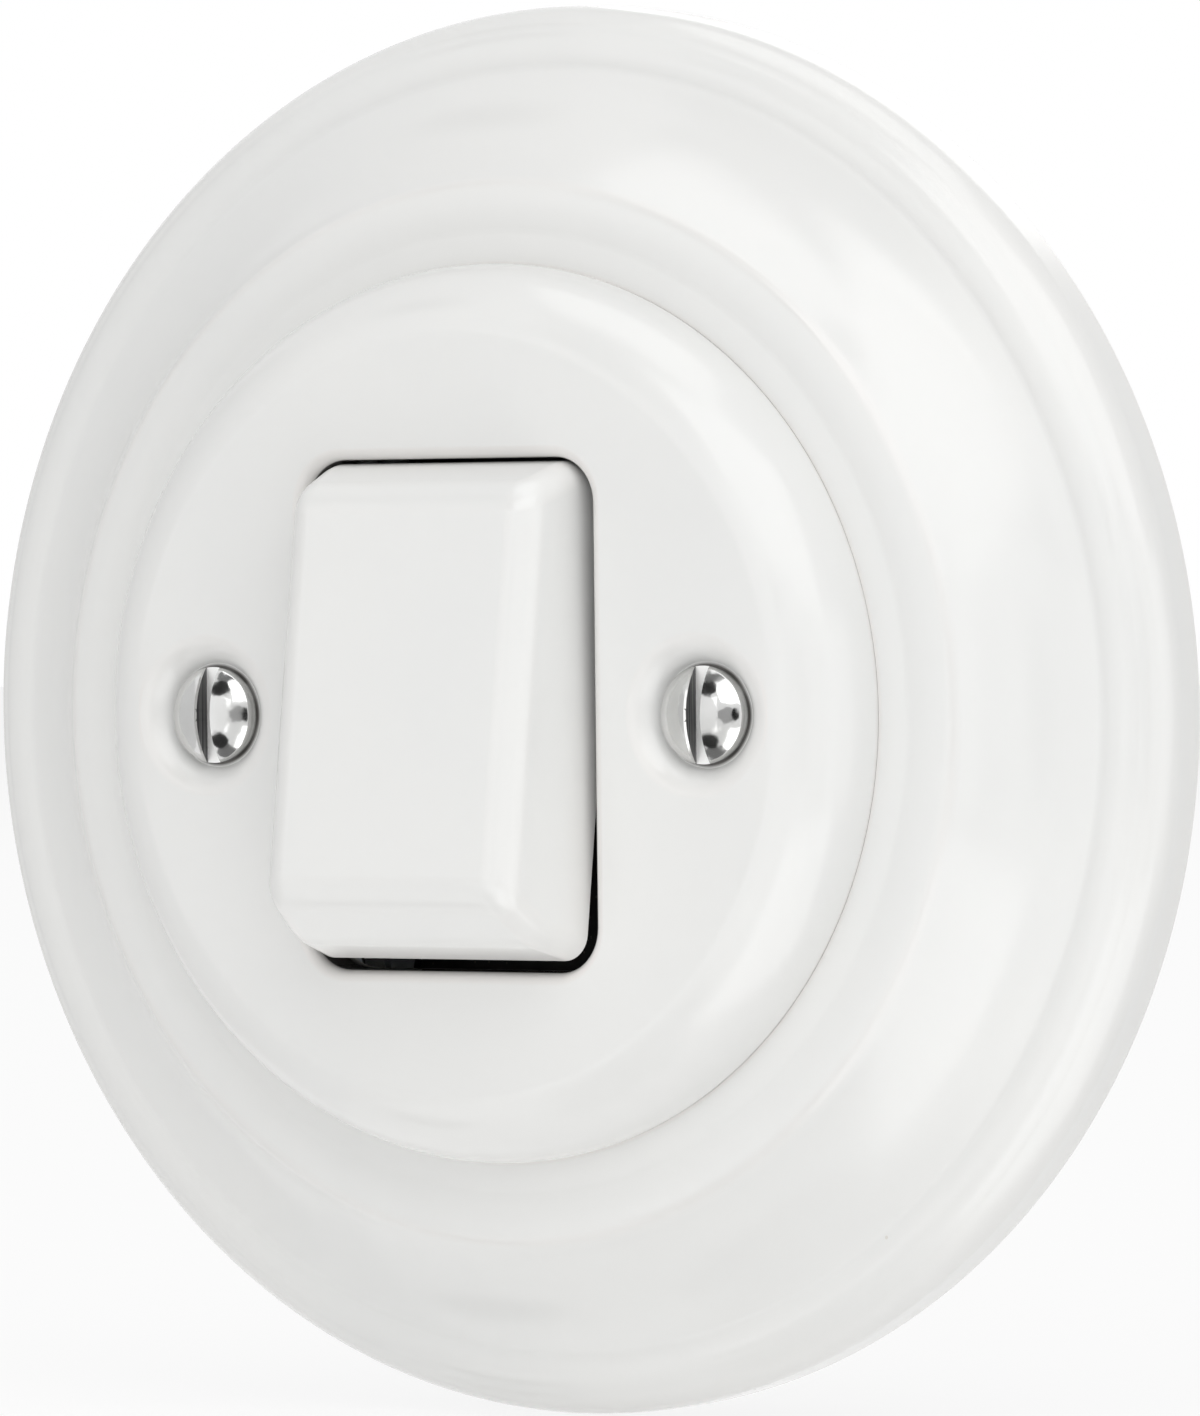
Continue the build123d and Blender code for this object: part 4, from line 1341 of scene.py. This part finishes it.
@dataclass
class RockerCap(FrontPiece):
    """Hollow porcelain rocker with drafted sides and soft edges, at its rest, in millimetres."""

    node: ClassVar[str] = "rocker_cap"
    body: ClassVar[Body] = Body.ROCKER
    pivot_h: float = 14.3
    rest_tilt: float = -8.0
    face_reach: float = 11.25
    base_reach: float = 2.2
    base_x: float = field(default_factory=lambda: reach_x("rocker_cap"))
    base_z: float = 17.514
    draft_x: float = 1.3
    draft_z: float = 3.2
    bevel_reach: float = 6.5
    skirt_draft_z: float = 0.6
    bend_half: float = 0.95
    bend_steps: int = 4
    side_width: float = 2.0
    side_steps: int = 12
    end_width: float = 1.75
    end_steps: int = 10
    end_facing: float = 0.8
    wall: float = 2.6
    face_wall: float = 3.0
    inner_corner: float = 1.3
    inner_steps: int = 6
    thin_bends: Span = (0.3, 1.4)
    sharp: float = 40.0

    def bevel_lean(self) -> float:
        """Return how far a bevel leans in for each millimetre of reach."""
        return (self.draft_z - self.skirt_draft_z) / (self.face_reach - self.bevel_reach)

    def end_z(self, reach: float) -> float:
        """Tell how far from the middle an end lies, along its skirt, soft bend and bevel.

        Args:
            reach: Distance from the pivot.

        Returns:
            The distance along Z.
        """
        bevel = self.bevel_lean()
        skirt = self.skirt_draft_z / (self.bevel_reach - self.base_reach)
        past = reach - self.bevel_reach
        bend_z = self.base_z - self.skirt_draft_z
        if abs(past) >= self.bend_half:
            return bend_z - past * (bevel if past > 0 else skirt)
        bow = (past**2 + self.bend_half**2) / (4 * self.bend_half)
        return bend_z - past * (bevel + skirt) / 2 - bow * (bevel - skirt)

    def block(self, bm: bmesh.types.BMesh) -> None:
        """Make the drafted block, whose bevels run down to its base, and round its edges.

        Args:
            bm: Empty mesh.
        """
        face_h, base_h = self.pivot_h + self.face_reach, self.pivot_h + self.base_reach
        face_z = self.base_z - self.draft_z
        block_z = face_z + (self.face_reach - self.base_reach) * self.bevel_lean()
        middle = Matrix.Translation((0.0, -(face_h + base_h) / 2, 0.0))
        corners = bmesh.ops.create_cube(bm, size=2.0, matrix=middle)["verts"]
        halves = (self.base_x, (face_h - base_h) / 2, block_z)
        bmesh.ops.scale(bm, vec=halves, verts=corners, space=middle.inverted())
        top = [v for v in corners if v.co.y < middle.translation.y]
        narrow = (1 - self.draft_x / self.base_x, 1.0, face_z / block_z)
        bmesh.ops.scale(bm, vec=narrow, verts=top)
        long_edges = [
            e for e in bm.edges
            if all(abs(v.co.y + face_h) < PLACE_MM for v in e.verts)
            and abs(e.verts[0].co.x - e.verts[1].co.x) < PLACE_MM
        ]
        soften(bm, long_edges, self.side_width, self.side_steps)
        bm.normal_update()
        ends = [f for f in bm.faces if abs(f.normal.z) > self.end_facing]
        end_edges = {
            e for f in ends for e in f.edges
            if any(abs(v.co.y + base_h) > PLACE_MM for v in e.verts)
        }
        soften(bm, list(end_edges), self.end_width, self.end_steps)

    def pull_skirt(self, bm: bmesh.types.BMesh) -> None:
        """Cut the block across at the ends' bend and draw the cuts and the base in to the skirt.

        Args:
            bm: Mesh of the rounded block.
        """
        steps = range(-self.bend_steps, self.bend_steps + 1)
        reaches = [self.bevel_reach + self.bend_half * step / self.bend_steps for step in steps]
        for reach in reaches:
            cut_across(bm, (0.0, -self.pivot_h - reach, 0.0), (0.0, 1.0, 0.0))
        for reach in (self.base_reach, *reaches):
            ring = [v for v in bm.verts if abs(v.co.y + self.pivot_h + reach) < PLACE_MM]
            far = max(v.co.z for v in ring)
            bmesh.ops.scale(bm, vec=(1.0, 1.0, self.end_z(reach) / far), verts=ring)

    def hollow(self, bm: bmesh.types.BMesh) -> None:
        """Hollow the rocker from its base, with drafted walls.

        Args:
            bm: Mesh of the closed rocker.
        """
        bm.normal_update()
        rim = open_face(bm, max(bm.faces, key=lambda f: f.calc_center_median().y))
        inner_x, inner_z = self.base_x - self.wall, self.base_z - self.wall
        base_h = self.pivot_h + self.base_reach
        inner = rounded_window(bm, inner_x, inner_z, self.inner_corner, base_h, self.inner_steps)
        fill_between(bm, rim + inner.edges[:])
        face_h = self.pivot_h + self.face_reach
        ceiling = push(bm, inner, base_h - face_h + self.face_wall)
        shrink = (1 - self.draft_x / inner_x, 1.0, 1 - self.draft_z / inner_z)
        bmesh.ops.scale(bm, vec=shrink, verts=ceiling.verts[:])

    def build(self) -> bpy.types.Object:
        """Round a drafted block, bend its ends, hollow it and tilt it to its rest.

        Returns:
            The rocker.
        """
        bm = bmesh.new()
        self.block(bm)
        self.pull_skirt(bm)
        self.hollow(bm)
        bmesh.ops.rotate(
            bm, cent=(0.0, -self.pivot_h, 0.0), verts=bm.verts[:],
            matrix=Matrix.Rotation(math.radians(self.rest_tilt), 3, "X"),
        )
        weld(bm)
        face_outwards(bm)
        mark_thin_glaze(bm, self.thin_bends)
        return make_piece(bm, "porcelain_rocker", self.sharp)


@dataclass
class CoverScrews(FrontPiece):
    """Two slotted round-head screws of polished nickel plate, in millimetres."""

    node: ClassVar[str] = "cover_screws"
    slot: ClassVar[Slot] = Slot.NICKEL
    screw_x: float = SCREW_X
    seat_depth: float = SCREW_SEAT_DEPTH
    head_r: float = 3.4
    head_side: float = 0.8
    dome: float = 1.25
    dome_steps: int = 16
    slot_width: float = 1.15
    slot_depth: float = 1.5
    slot_lip: float = 0.1
    lip_drop: float = 0.17
    wall_facing: float = 0.9
    shank_r: float = 1.75
    shank_end_h: float = 2.0
    rim_soft: float = 0.14
    rim_steps: int = 3
    sharp: float = 32.0
    turns: int = 96

    def build(self) -> bpy.types.Object:
        """Turn one screw, cut its slot and copy it to the other side.

        Returns:
            Both screws as one piece.
        """
        bm = bmesh.new()
        seat_h = front_h("cover_disc") - self.seat_depth
        head_h = seat_h + self.head_side
        apex_h = head_h + self.dome
        dome_r = (self.head_r**2 + self.dome**2) / (2 * self.dome)
        mid_r = self.head_r / 2
        mid_h = apex_h - dome_r + math.sqrt(dome_r**2 - mid_r**2)
        pen = SectionPen(bm, 0.0, apex_h)
        pen.arc_through((mid_r, mid_h), (self.head_r, head_h), self.dome_steps)
        for place in (
            (self.head_r, seat_h), (self.shank_r, seat_h),
            (self.shank_r, self.shank_end_h), (0.0, self.shank_end_h),
        ):
            pen.line_to(*place)
        turn_section(bm, self.turns)
        soften(bm, ring_edges(bm, self.head_r, head_h), self.rim_soft, self.rim_steps)
        self.cut_slot(bm, apex_h - self.slot_depth)
        face_outwards(bm)
        first = bm.verts[:]
        twin = verts_in(bmesh.ops.duplicate(bm, geom=everything(bm))["geom"])
        bmesh.ops.translate(bm, vec=(self.screw_x, 0.0, 0.0), verts=twin)
        bmesh.ops.translate(bm, vec=(-self.screw_x, 0.0, 0.0), verts=first)
        return make_piece(bm, "nickel_cover_screws", self.sharp)

    def cut_slot(self, bm: bmesh.types.BMesh, floor_h: float) -> None:
        """Cut the upright slot into the head and chamfer its lips.

        Args:
            bm: Mesh of one screw on the axis.
            floor_h: Height off the wall of the slot's floor.
        """
        half = self.slot_width / 2
        lip = half + self.slot_lip
        for x in (half, -half, lip, -lip):
            cut_across(bm, (x, 0.0, 0.0), (1.0, 0.0, 0.0))
        cut_across(bm, (0.0, -floor_h, 0.0), (0.0, 1.0, 0.0))
        middles = {face: face.calc_center_median() for face in bm.faces}
        inside = [f for f, mid in middles.items() if abs(mid.x) < half and -mid.y > floor_h]
        bmesh.ops.delete(bm, geom=inside, context="FACES")
        walls = [
            e for e in bm.edges
            if e.is_boundary
            and abs(e.verts[0].co.z - e.verts[1].co.z) > MERGE_MM
            and any(-v.co.y > floor_h + PLACE_MM for v in e.verts)
        ]
        for vert in verts_in(bmesh.ops.extrude_edge_only(bm, edges=walls)["geom"]):
            vert.co.y = -floor_h
        weld_poles(bm)
        bmesh.ops.edgeloop_fill(bm, edges=[e for e in bm.edges if e.is_boundary])
        for vert in bm.verts:
            share = (lip - abs(vert.co.x)) / self.slot_lip
            in_lip = -PLACE_MM < share < 1 + PLACE_MM
            if in_lip and -vert.co.y > floor_h + self.lip_drop:
                vert.co.y += share * self.lip_drop
        self.mark_slot(bm, floor_h)

    def mark_slot(self, bm: bmesh.types.BMesh, floor_h: float) -> None:
        """Mark the milled faces, for roughness and for painted shade and light, in slot, slot_wall
        and slot_floor.

        Args:
            bm: Mesh of one screw on the axis.
            floor_h: Height off the wall of the slot's floor.
        """
        names = ("slot", "slot_wall", "slot_floor")
        slot, wall, floor = (bm.faces.layers.float.new(name) for name in names)
        half = self.slot_width / 2
        bm.normal_update()
        for face in bm.faces:
            centre = face.calc_center_median()
            upright = abs(face.normal.x) > self.wall_facing
            on_wall = upright and abs(abs(centre.x) - half) < PLACE_MM
            on_floor = abs(centre.x) < half and abs(centre.y + floor_h) < PLACE_MM
            # slot_wall carries painted shade and slot_floor painted light in the metal's colour.
            face[slot] = float(on_wall or on_floor)
            face[wall] = float(on_wall)
            face[floor] = float(on_floor)


@dataclass
class FlushInsert:
    """Pieces behind the cover: their CAD solids, with worn edges where they show from behind."""

    finishes: dict[str, Slot] = field(
        default_factory=lambda: {
            part["node"]: Slot(part["material_slot"]) for part in frame["record"]["subparts"]
        }
    )
    eased: dict[str, float] = field(
        default_factory=lambda: {
            "support_plate": 0.12,
            "switch_base": 0.30,
            "bearing_frame": 0.25,
            "rocker_carrier": 0.20,
            "upper_terminal": 0.15,
            "lower_terminal": 0.15,
            "common_terminal": 0.15,
        }
    )
    flat_angle: float = 0.4
    eased_angle: float = 50.0
    eased_steps: int = 2
    eased_sharp: float = 35.0
    spring: str = "plunger_spring"
    spring_sharp: float = 60.0
    slide: str = "plunger_slide"
    tilt: str = "rocker_tilt"
    roof_reach: float = 2.2
    tail_reach: float = 7.0

    def copy(self, node: str) -> bmesh.types.BMesh:
        """Copy a node's mesh.

        Args:
            node: Name of the node.

        Returns:
            The merged copy, in millimetres.
        """
        bm = bmesh.new()
        bm.from_mesh(frame["nodes"][node].data)
        bmesh.ops.scale(bm, vec=(1 / MM, 1 / MM, 1 / MM), verts=bm.verts[:])
        weld(bm)
        return bm

    def ease(self, node: str, width: float) -> bpy.types.Object:
        """Copy a node with its edges eased.

        Args:
            node: Name of the node.
            width: Width of the eased edge, in millimetres.

        Returns:
            The copy.
        """
        bm = self.copy(node)
        bmesh.ops.dissolve_limit(
            bm, angle_limit=math.radians(self.flat_angle), use_dissolve_boundaries=False,
            verts=bm.verts[:], edges=bm.edges[:],
        )
        piece = make_piece(bm, f"eased_{node}", self.eased_sharp)
        stale = piece.data.attributes.get("custom_normal")
        if stale is not None:
            piece.data.attributes.remove(stale)
        edge = piece.modifiers.new("eased_edges", "BEVEL")
        edge.width = width * MM
        edge.segments = self.eased_steps
        edge.limit_method = "ANGLE"
        edge.angle_limit = math.radians(self.eased_angle)
        piece.modifiers.move(1, 0)
        return piece

    def coil(self) -> bpy.types.Object:
        """Copy the plunger's spring, whose solid can't shorten."""
        return make_piece(self.copy(self.spring), f"coiled_{self.spring}", self.spring_sharp)

    def shorten(self, spring: bpy.types.Object) -> None:
        """Give the placed spring a mesh of its own.

        Args:
            spring: The placed spring.
        """
        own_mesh(spring)

    def body_of(self, node: str) -> Body:
        """Return the body that a node belongs to."""
        bodies = frame["record"]["behaviour"]["bodies"]
        return Body(next(name for name, members in bodies.items() if node in members))

    def build(self) -> dict[str, bpy.types.Object]:
        """Copy the spring and the pieces whose edges show.

        Returns:
            The copies by node name.
        """
        pieces = {self.spring: self.coil()}
        for node, width in self.eased.items():
            pieces[node] = self.ease(node, width)
        return pieces

    def dress(self, pieces: dict[str, bpy.types.Object], shelf: FinishShelf) -> None:
        """Finish the copies and the nodes that stay.

        Args:
            pieces: Copies by node name.
            shelf: Finishes.
        """
        for node, slot in self.finishes.items():
            finish = shelf.get(slot)
            if node in pieces:
                place_piece(pieces[node], self.body_of(node), node, finish)
                continue
            solid = frame["nodes"][node]
            if solid.material_slots:
                solid.material_slots[0].material = finish
            else:
                solid.data.materials.append(finish)
            LOG.info("%s keeps its solid", node)
        self.shorten(pieces[self.spring])


@dataclass(frozen=True)
class Hung:
    """Something that hangs round the switch and faces it. Angles in degrees, lengths in metres."""

    name: str
    azimuth: float
    elevation: float
    distance: float
    width: float
    height: float

    def away(self) -> Vector:
        """Return the direction in which it hangs."""
        return aim(self.azimuth, self.elevation)


@dataclass(frozen=True)
class Softbox(Hung):
    """A soft lamp, seen in the switch's gloss."""

    radiance: float

    def hang(self) -> None:
        """Make the lamp and aim it at the switch."""
        data = bpy.data.lights.new(self.name, "AREA")
        data.shape = "RECTANGLE"
        data.size, data.size_y = self.width, self.height
        data.energy = self.radiance * math.pi * self.width * self.height
        lamp = link_object(self.name, data)
        lamp.location = self.away() * self.distance
        lamp.rotation_mode = "QUATERNION"
        lamp.rotation_quaternion = self.away().to_track_quat("Z", "Y")
        lamp.visible_camera = False


@dataclass(frozen=True)
class Card(Hung):
    """A dark or grey card that only shows in gloss, as a studio's dim parts do."""

    tone: float
    edges: ClassVar[int] = 32

    def finish(self) -> bpy.types.Material:
        """Make a material that shows the card's tone.

        Returns:
            The material.
        """
        material = bpy.data.materials.new(self.name)
        material.use_nodes = True
        bench = NodeBench(material.node_tree)
        shade = bench.add("ShaderNodeEmission")
        bench.tune(shade, Color=WHITE, Strength=self.tone)
        out = bench.add("ShaderNodeOutputMaterial")
        bench.join(shade.outputs["Emission"], out.inputs["Surface"])
        return material

    def hang(self) -> None:
        """Make the card and aim it at the switch."""
        bm = bmesh.new()
        bmesh.ops.create_circle(bm, cap_ends=True, segments=self.edges, radius=0.5)
        bmesh.ops.scale(bm, vec=(self.width, self.height, 1.0), verts=bm.verts[:])
        turned = self.away().to_track_quat("Z", "Y").to_matrix().to_4x4()
        hung = Matrix.Translation(self.away() * self.distance) @ turned
        bmesh.ops.transform(bm, matrix=hung, verts=bm.verts[:])
        mesh = settle_mesh(bm, self.name)
        mesh.materials.append(self.finish())
        card = link_object(self.name, mesh)
        card.visible_camera = False
        card.visible_diffuse = False
        card.visible_shadow = False


@dataclass
class Studio:
    """Camera, lamps, cards, floor and white surround. Angles are in degrees, lengths in metres."""

    azimuth: float = 33.6
    elevation: float = 0.96
    roll: float = -0.65
    distance: float = 0.75
    focal_px: float = 10522.0
    centre_px: Place = (596.0, 709.8)
    sensor: float = 36.0
    clip: Span = (0.01, 50.0)
    fill: float = 0.40
    floor_gap: float = 0.0004
    floor_size: float = 6.0
    floor_tone: Colour = (0.9, 0.9, 0.9)
    floor_white: float = 0.85
    lamps: tuple[Softbox, ...] = (
        # name, azimuth, elevation, distance, width, height, radiance
        Softbox("front_softbox", -11.8, 0.0, 1.8, 1.42, 1.7, 0.85),
        Softbox("upper_right_softbox", 44.0, 40.0, 1.8, 2.0, 1.3, 1.58),
        Softbox("lower_right_softbox", 58.0, -41.0, 1.8, 1.9, 1.3, 1.76),
        Softbox("top_softbox", 10.0, 84.0, 1.8, 1.3, 1.3, 1.3),
        Softbox("right_softbox", 86.0, 0.0, 1.8, 1.2, 1.2, 0.8),
        Softbox("back_softbox", 195.0, 35.0, 1.8, 1.2, 1.0, 1.5),
    )
    cards: tuple[Card, ...] = (
        # name, azimuth, elevation, distance, width, height, tone
        Card("upper_dark_card", -12.0, 38.0, 2.2, 1.1, 0.9, 0.03),
        Card("lower_dark_card", -12.0, -38.0, 2.2, 1.1, 0.9, 0.03),
        Card("camera_dark_card", 36.0, 0.0, 2.3, 0.55, 0.9, 0.01),
        Card("grey_card", 22.0, 0.0, 2.5, 1.1, 1.1, 0.45),
        Card("upper_grey_card", -10.0, 58.0, 2.5, 1.3, 1.2, 0.22),
        Card("lower_grey_card", -10.0, -58.0, 2.5, 1.3, 1.2, 0.22),
        Card("left_grey_card", -84.0, 0.0, 2.6, 4.2, 3.4, 0.74),
        Card("upper_left_dark_card", -62.0, 46.0, 2.3, 0.55, 0.55, 0.12),
        Card("lower_left_dark_card", -62.0, -46.0, 2.3, 0.55, 0.55, 0.12),
        Card("front_softbox_back", -11.8, 0.0, 1.9, 1.6, 1.95, 0.25),
    )

    def camera(self) -> None:
        """Make the camera at the photograph's angle."""
        data = bpy.data.cameras.new("photo_camera")
        longest = max(PHOTO_SIZE)
        data.sensor_width = self.sensor
        data.lens = self.focal_px * self.sensor / longest
        data.shift_x = (PHOTO_SIZE[0] / 2 - self.centre_px[0]) / longest
        data.shift_y = (self.centre_px[1] - PHOTO_SIZE[1] / 2) / longest
        data.clip_start, data.clip_end = self.clip
        camera = link_object("photo_camera", data)
        away = aim(self.azimuth, self.elevation)
        upright = (-away).to_track_quat("-Z", "Y").to_matrix().to_4x4()
        tip = Matrix.Rotation(math.radians(self.roll), 4, "Z")
        camera.matrix_world = Matrix.Translation(away * self.distance) @ upright @ tip
        bpy.context.scene.camera = camera

    def shown_white(self, bench: NodeBench) -> bpy.types.NodeSocket:
        """Add the mask of rays that show the white surround.

        Args:
            bench: Bench of the tree.

        Returns:
            The mask's socket.
        """
        path = bench.add("ShaderNodeLightPath").outputs
        seen = bench.maths("MAXIMUM", path["Is Camera Ray"], path["Is Glossy Ray"])
        return bench.maths("MAXIMUM", seen, path["Is Transmission Ray"])

    def surround(self) -> None:
        """Set the world: white where it is seen, softer where it lights."""
        world = bpy.data.worlds.new("white_surround")
        world.use_nodes = True
        bench = NodeBench(world.node_tree)
        glow = bench.add("ShaderNodeBackground")
        bench.tune(glow, Color=WHITE)
        level = bench.maths("MULTIPLY", self.shown_white(bench), 1.0 - self.fill)
        bench.join(bench.maths("ADD", level, self.fill), glow.inputs["Strength"])
        out = bench.add("ShaderNodeOutputWorld")
        bench.join(glow.outputs["Background"], out.inputs["Surface"])
        bpy.context.scene.world = world

    def floor_finish(self) -> bpy.types.Material:
        """Make the floor's material: pale where it is lit, nearly white where it is seen.

        Returns:
            The material.
        """
        material = bpy.data.materials.new("pale_floor")
        material.use_nodes = True
        bench = NodeBench(material.node_tree)
        matt = bench.add("ShaderNodeBsdfDiffuse")
        bench.tune(matt, Color=(*self.floor_tone, 1.0))
        glow = bench.add("ShaderNodeEmission")
        mixed = bench.add("ShaderNodeMixShader")
        white = bench.maths("MULTIPLY", self.shown_white(bench), self.floor_white)
        bench.join(white, mixed.inputs["Fac"])
        bench.join(matt.outputs["BSDF"], mixed.inputs[1])
        bench.join(glow.outputs["Emission"], mixed.inputs[2])
        out = bench.add("ShaderNodeOutputMaterial")
        bench.join(mixed.outputs["Shader"], out.inputs["Surface"])
        return material

    def floor(self) -> None:
        """Lay the pale floor under the switch."""
        bm = bmesh.new()
        place = Matrix.Translation((0.0, 0.0, CAD_BOX[0].z - self.floor_gap))
        bmesh.ops.create_grid(
            bm, x_segments=1, y_segments=1, size=self.floor_size / 2, matrix=place
        )
        mesh = settle_mesh(bm, "pale_floor")
        mesh.materials.append(self.floor_finish())
        floor = link_object("pale_floor", mesh)
        floor.visible_shadow = False
        floor.visible_glossy = False

    def build(self) -> None:
        """Set up the camera, the light and the surround."""
        self.camera()
        self.surround()
        self.floor()
        for hung in (*self.lamps, *self.cards):
            hung.hang()
        bpy.context.scene.view_settings.view_transform = "Standard"


def main() -> None:
    """Build the studio and the switch's pieces in order."""
    logging.basicConfig(level=logging.INFO, format="%(name)s: %(message)s")
    Studio().build()
    shelf = FinishShelf()
    for assembly in (OuterFrame(), CoverDisc(), RockerCap(), CoverScrews(), FlushInsert()):
        assembly.dress(assembly.build(), shelf)


if __name__ == "__main__":
    main()
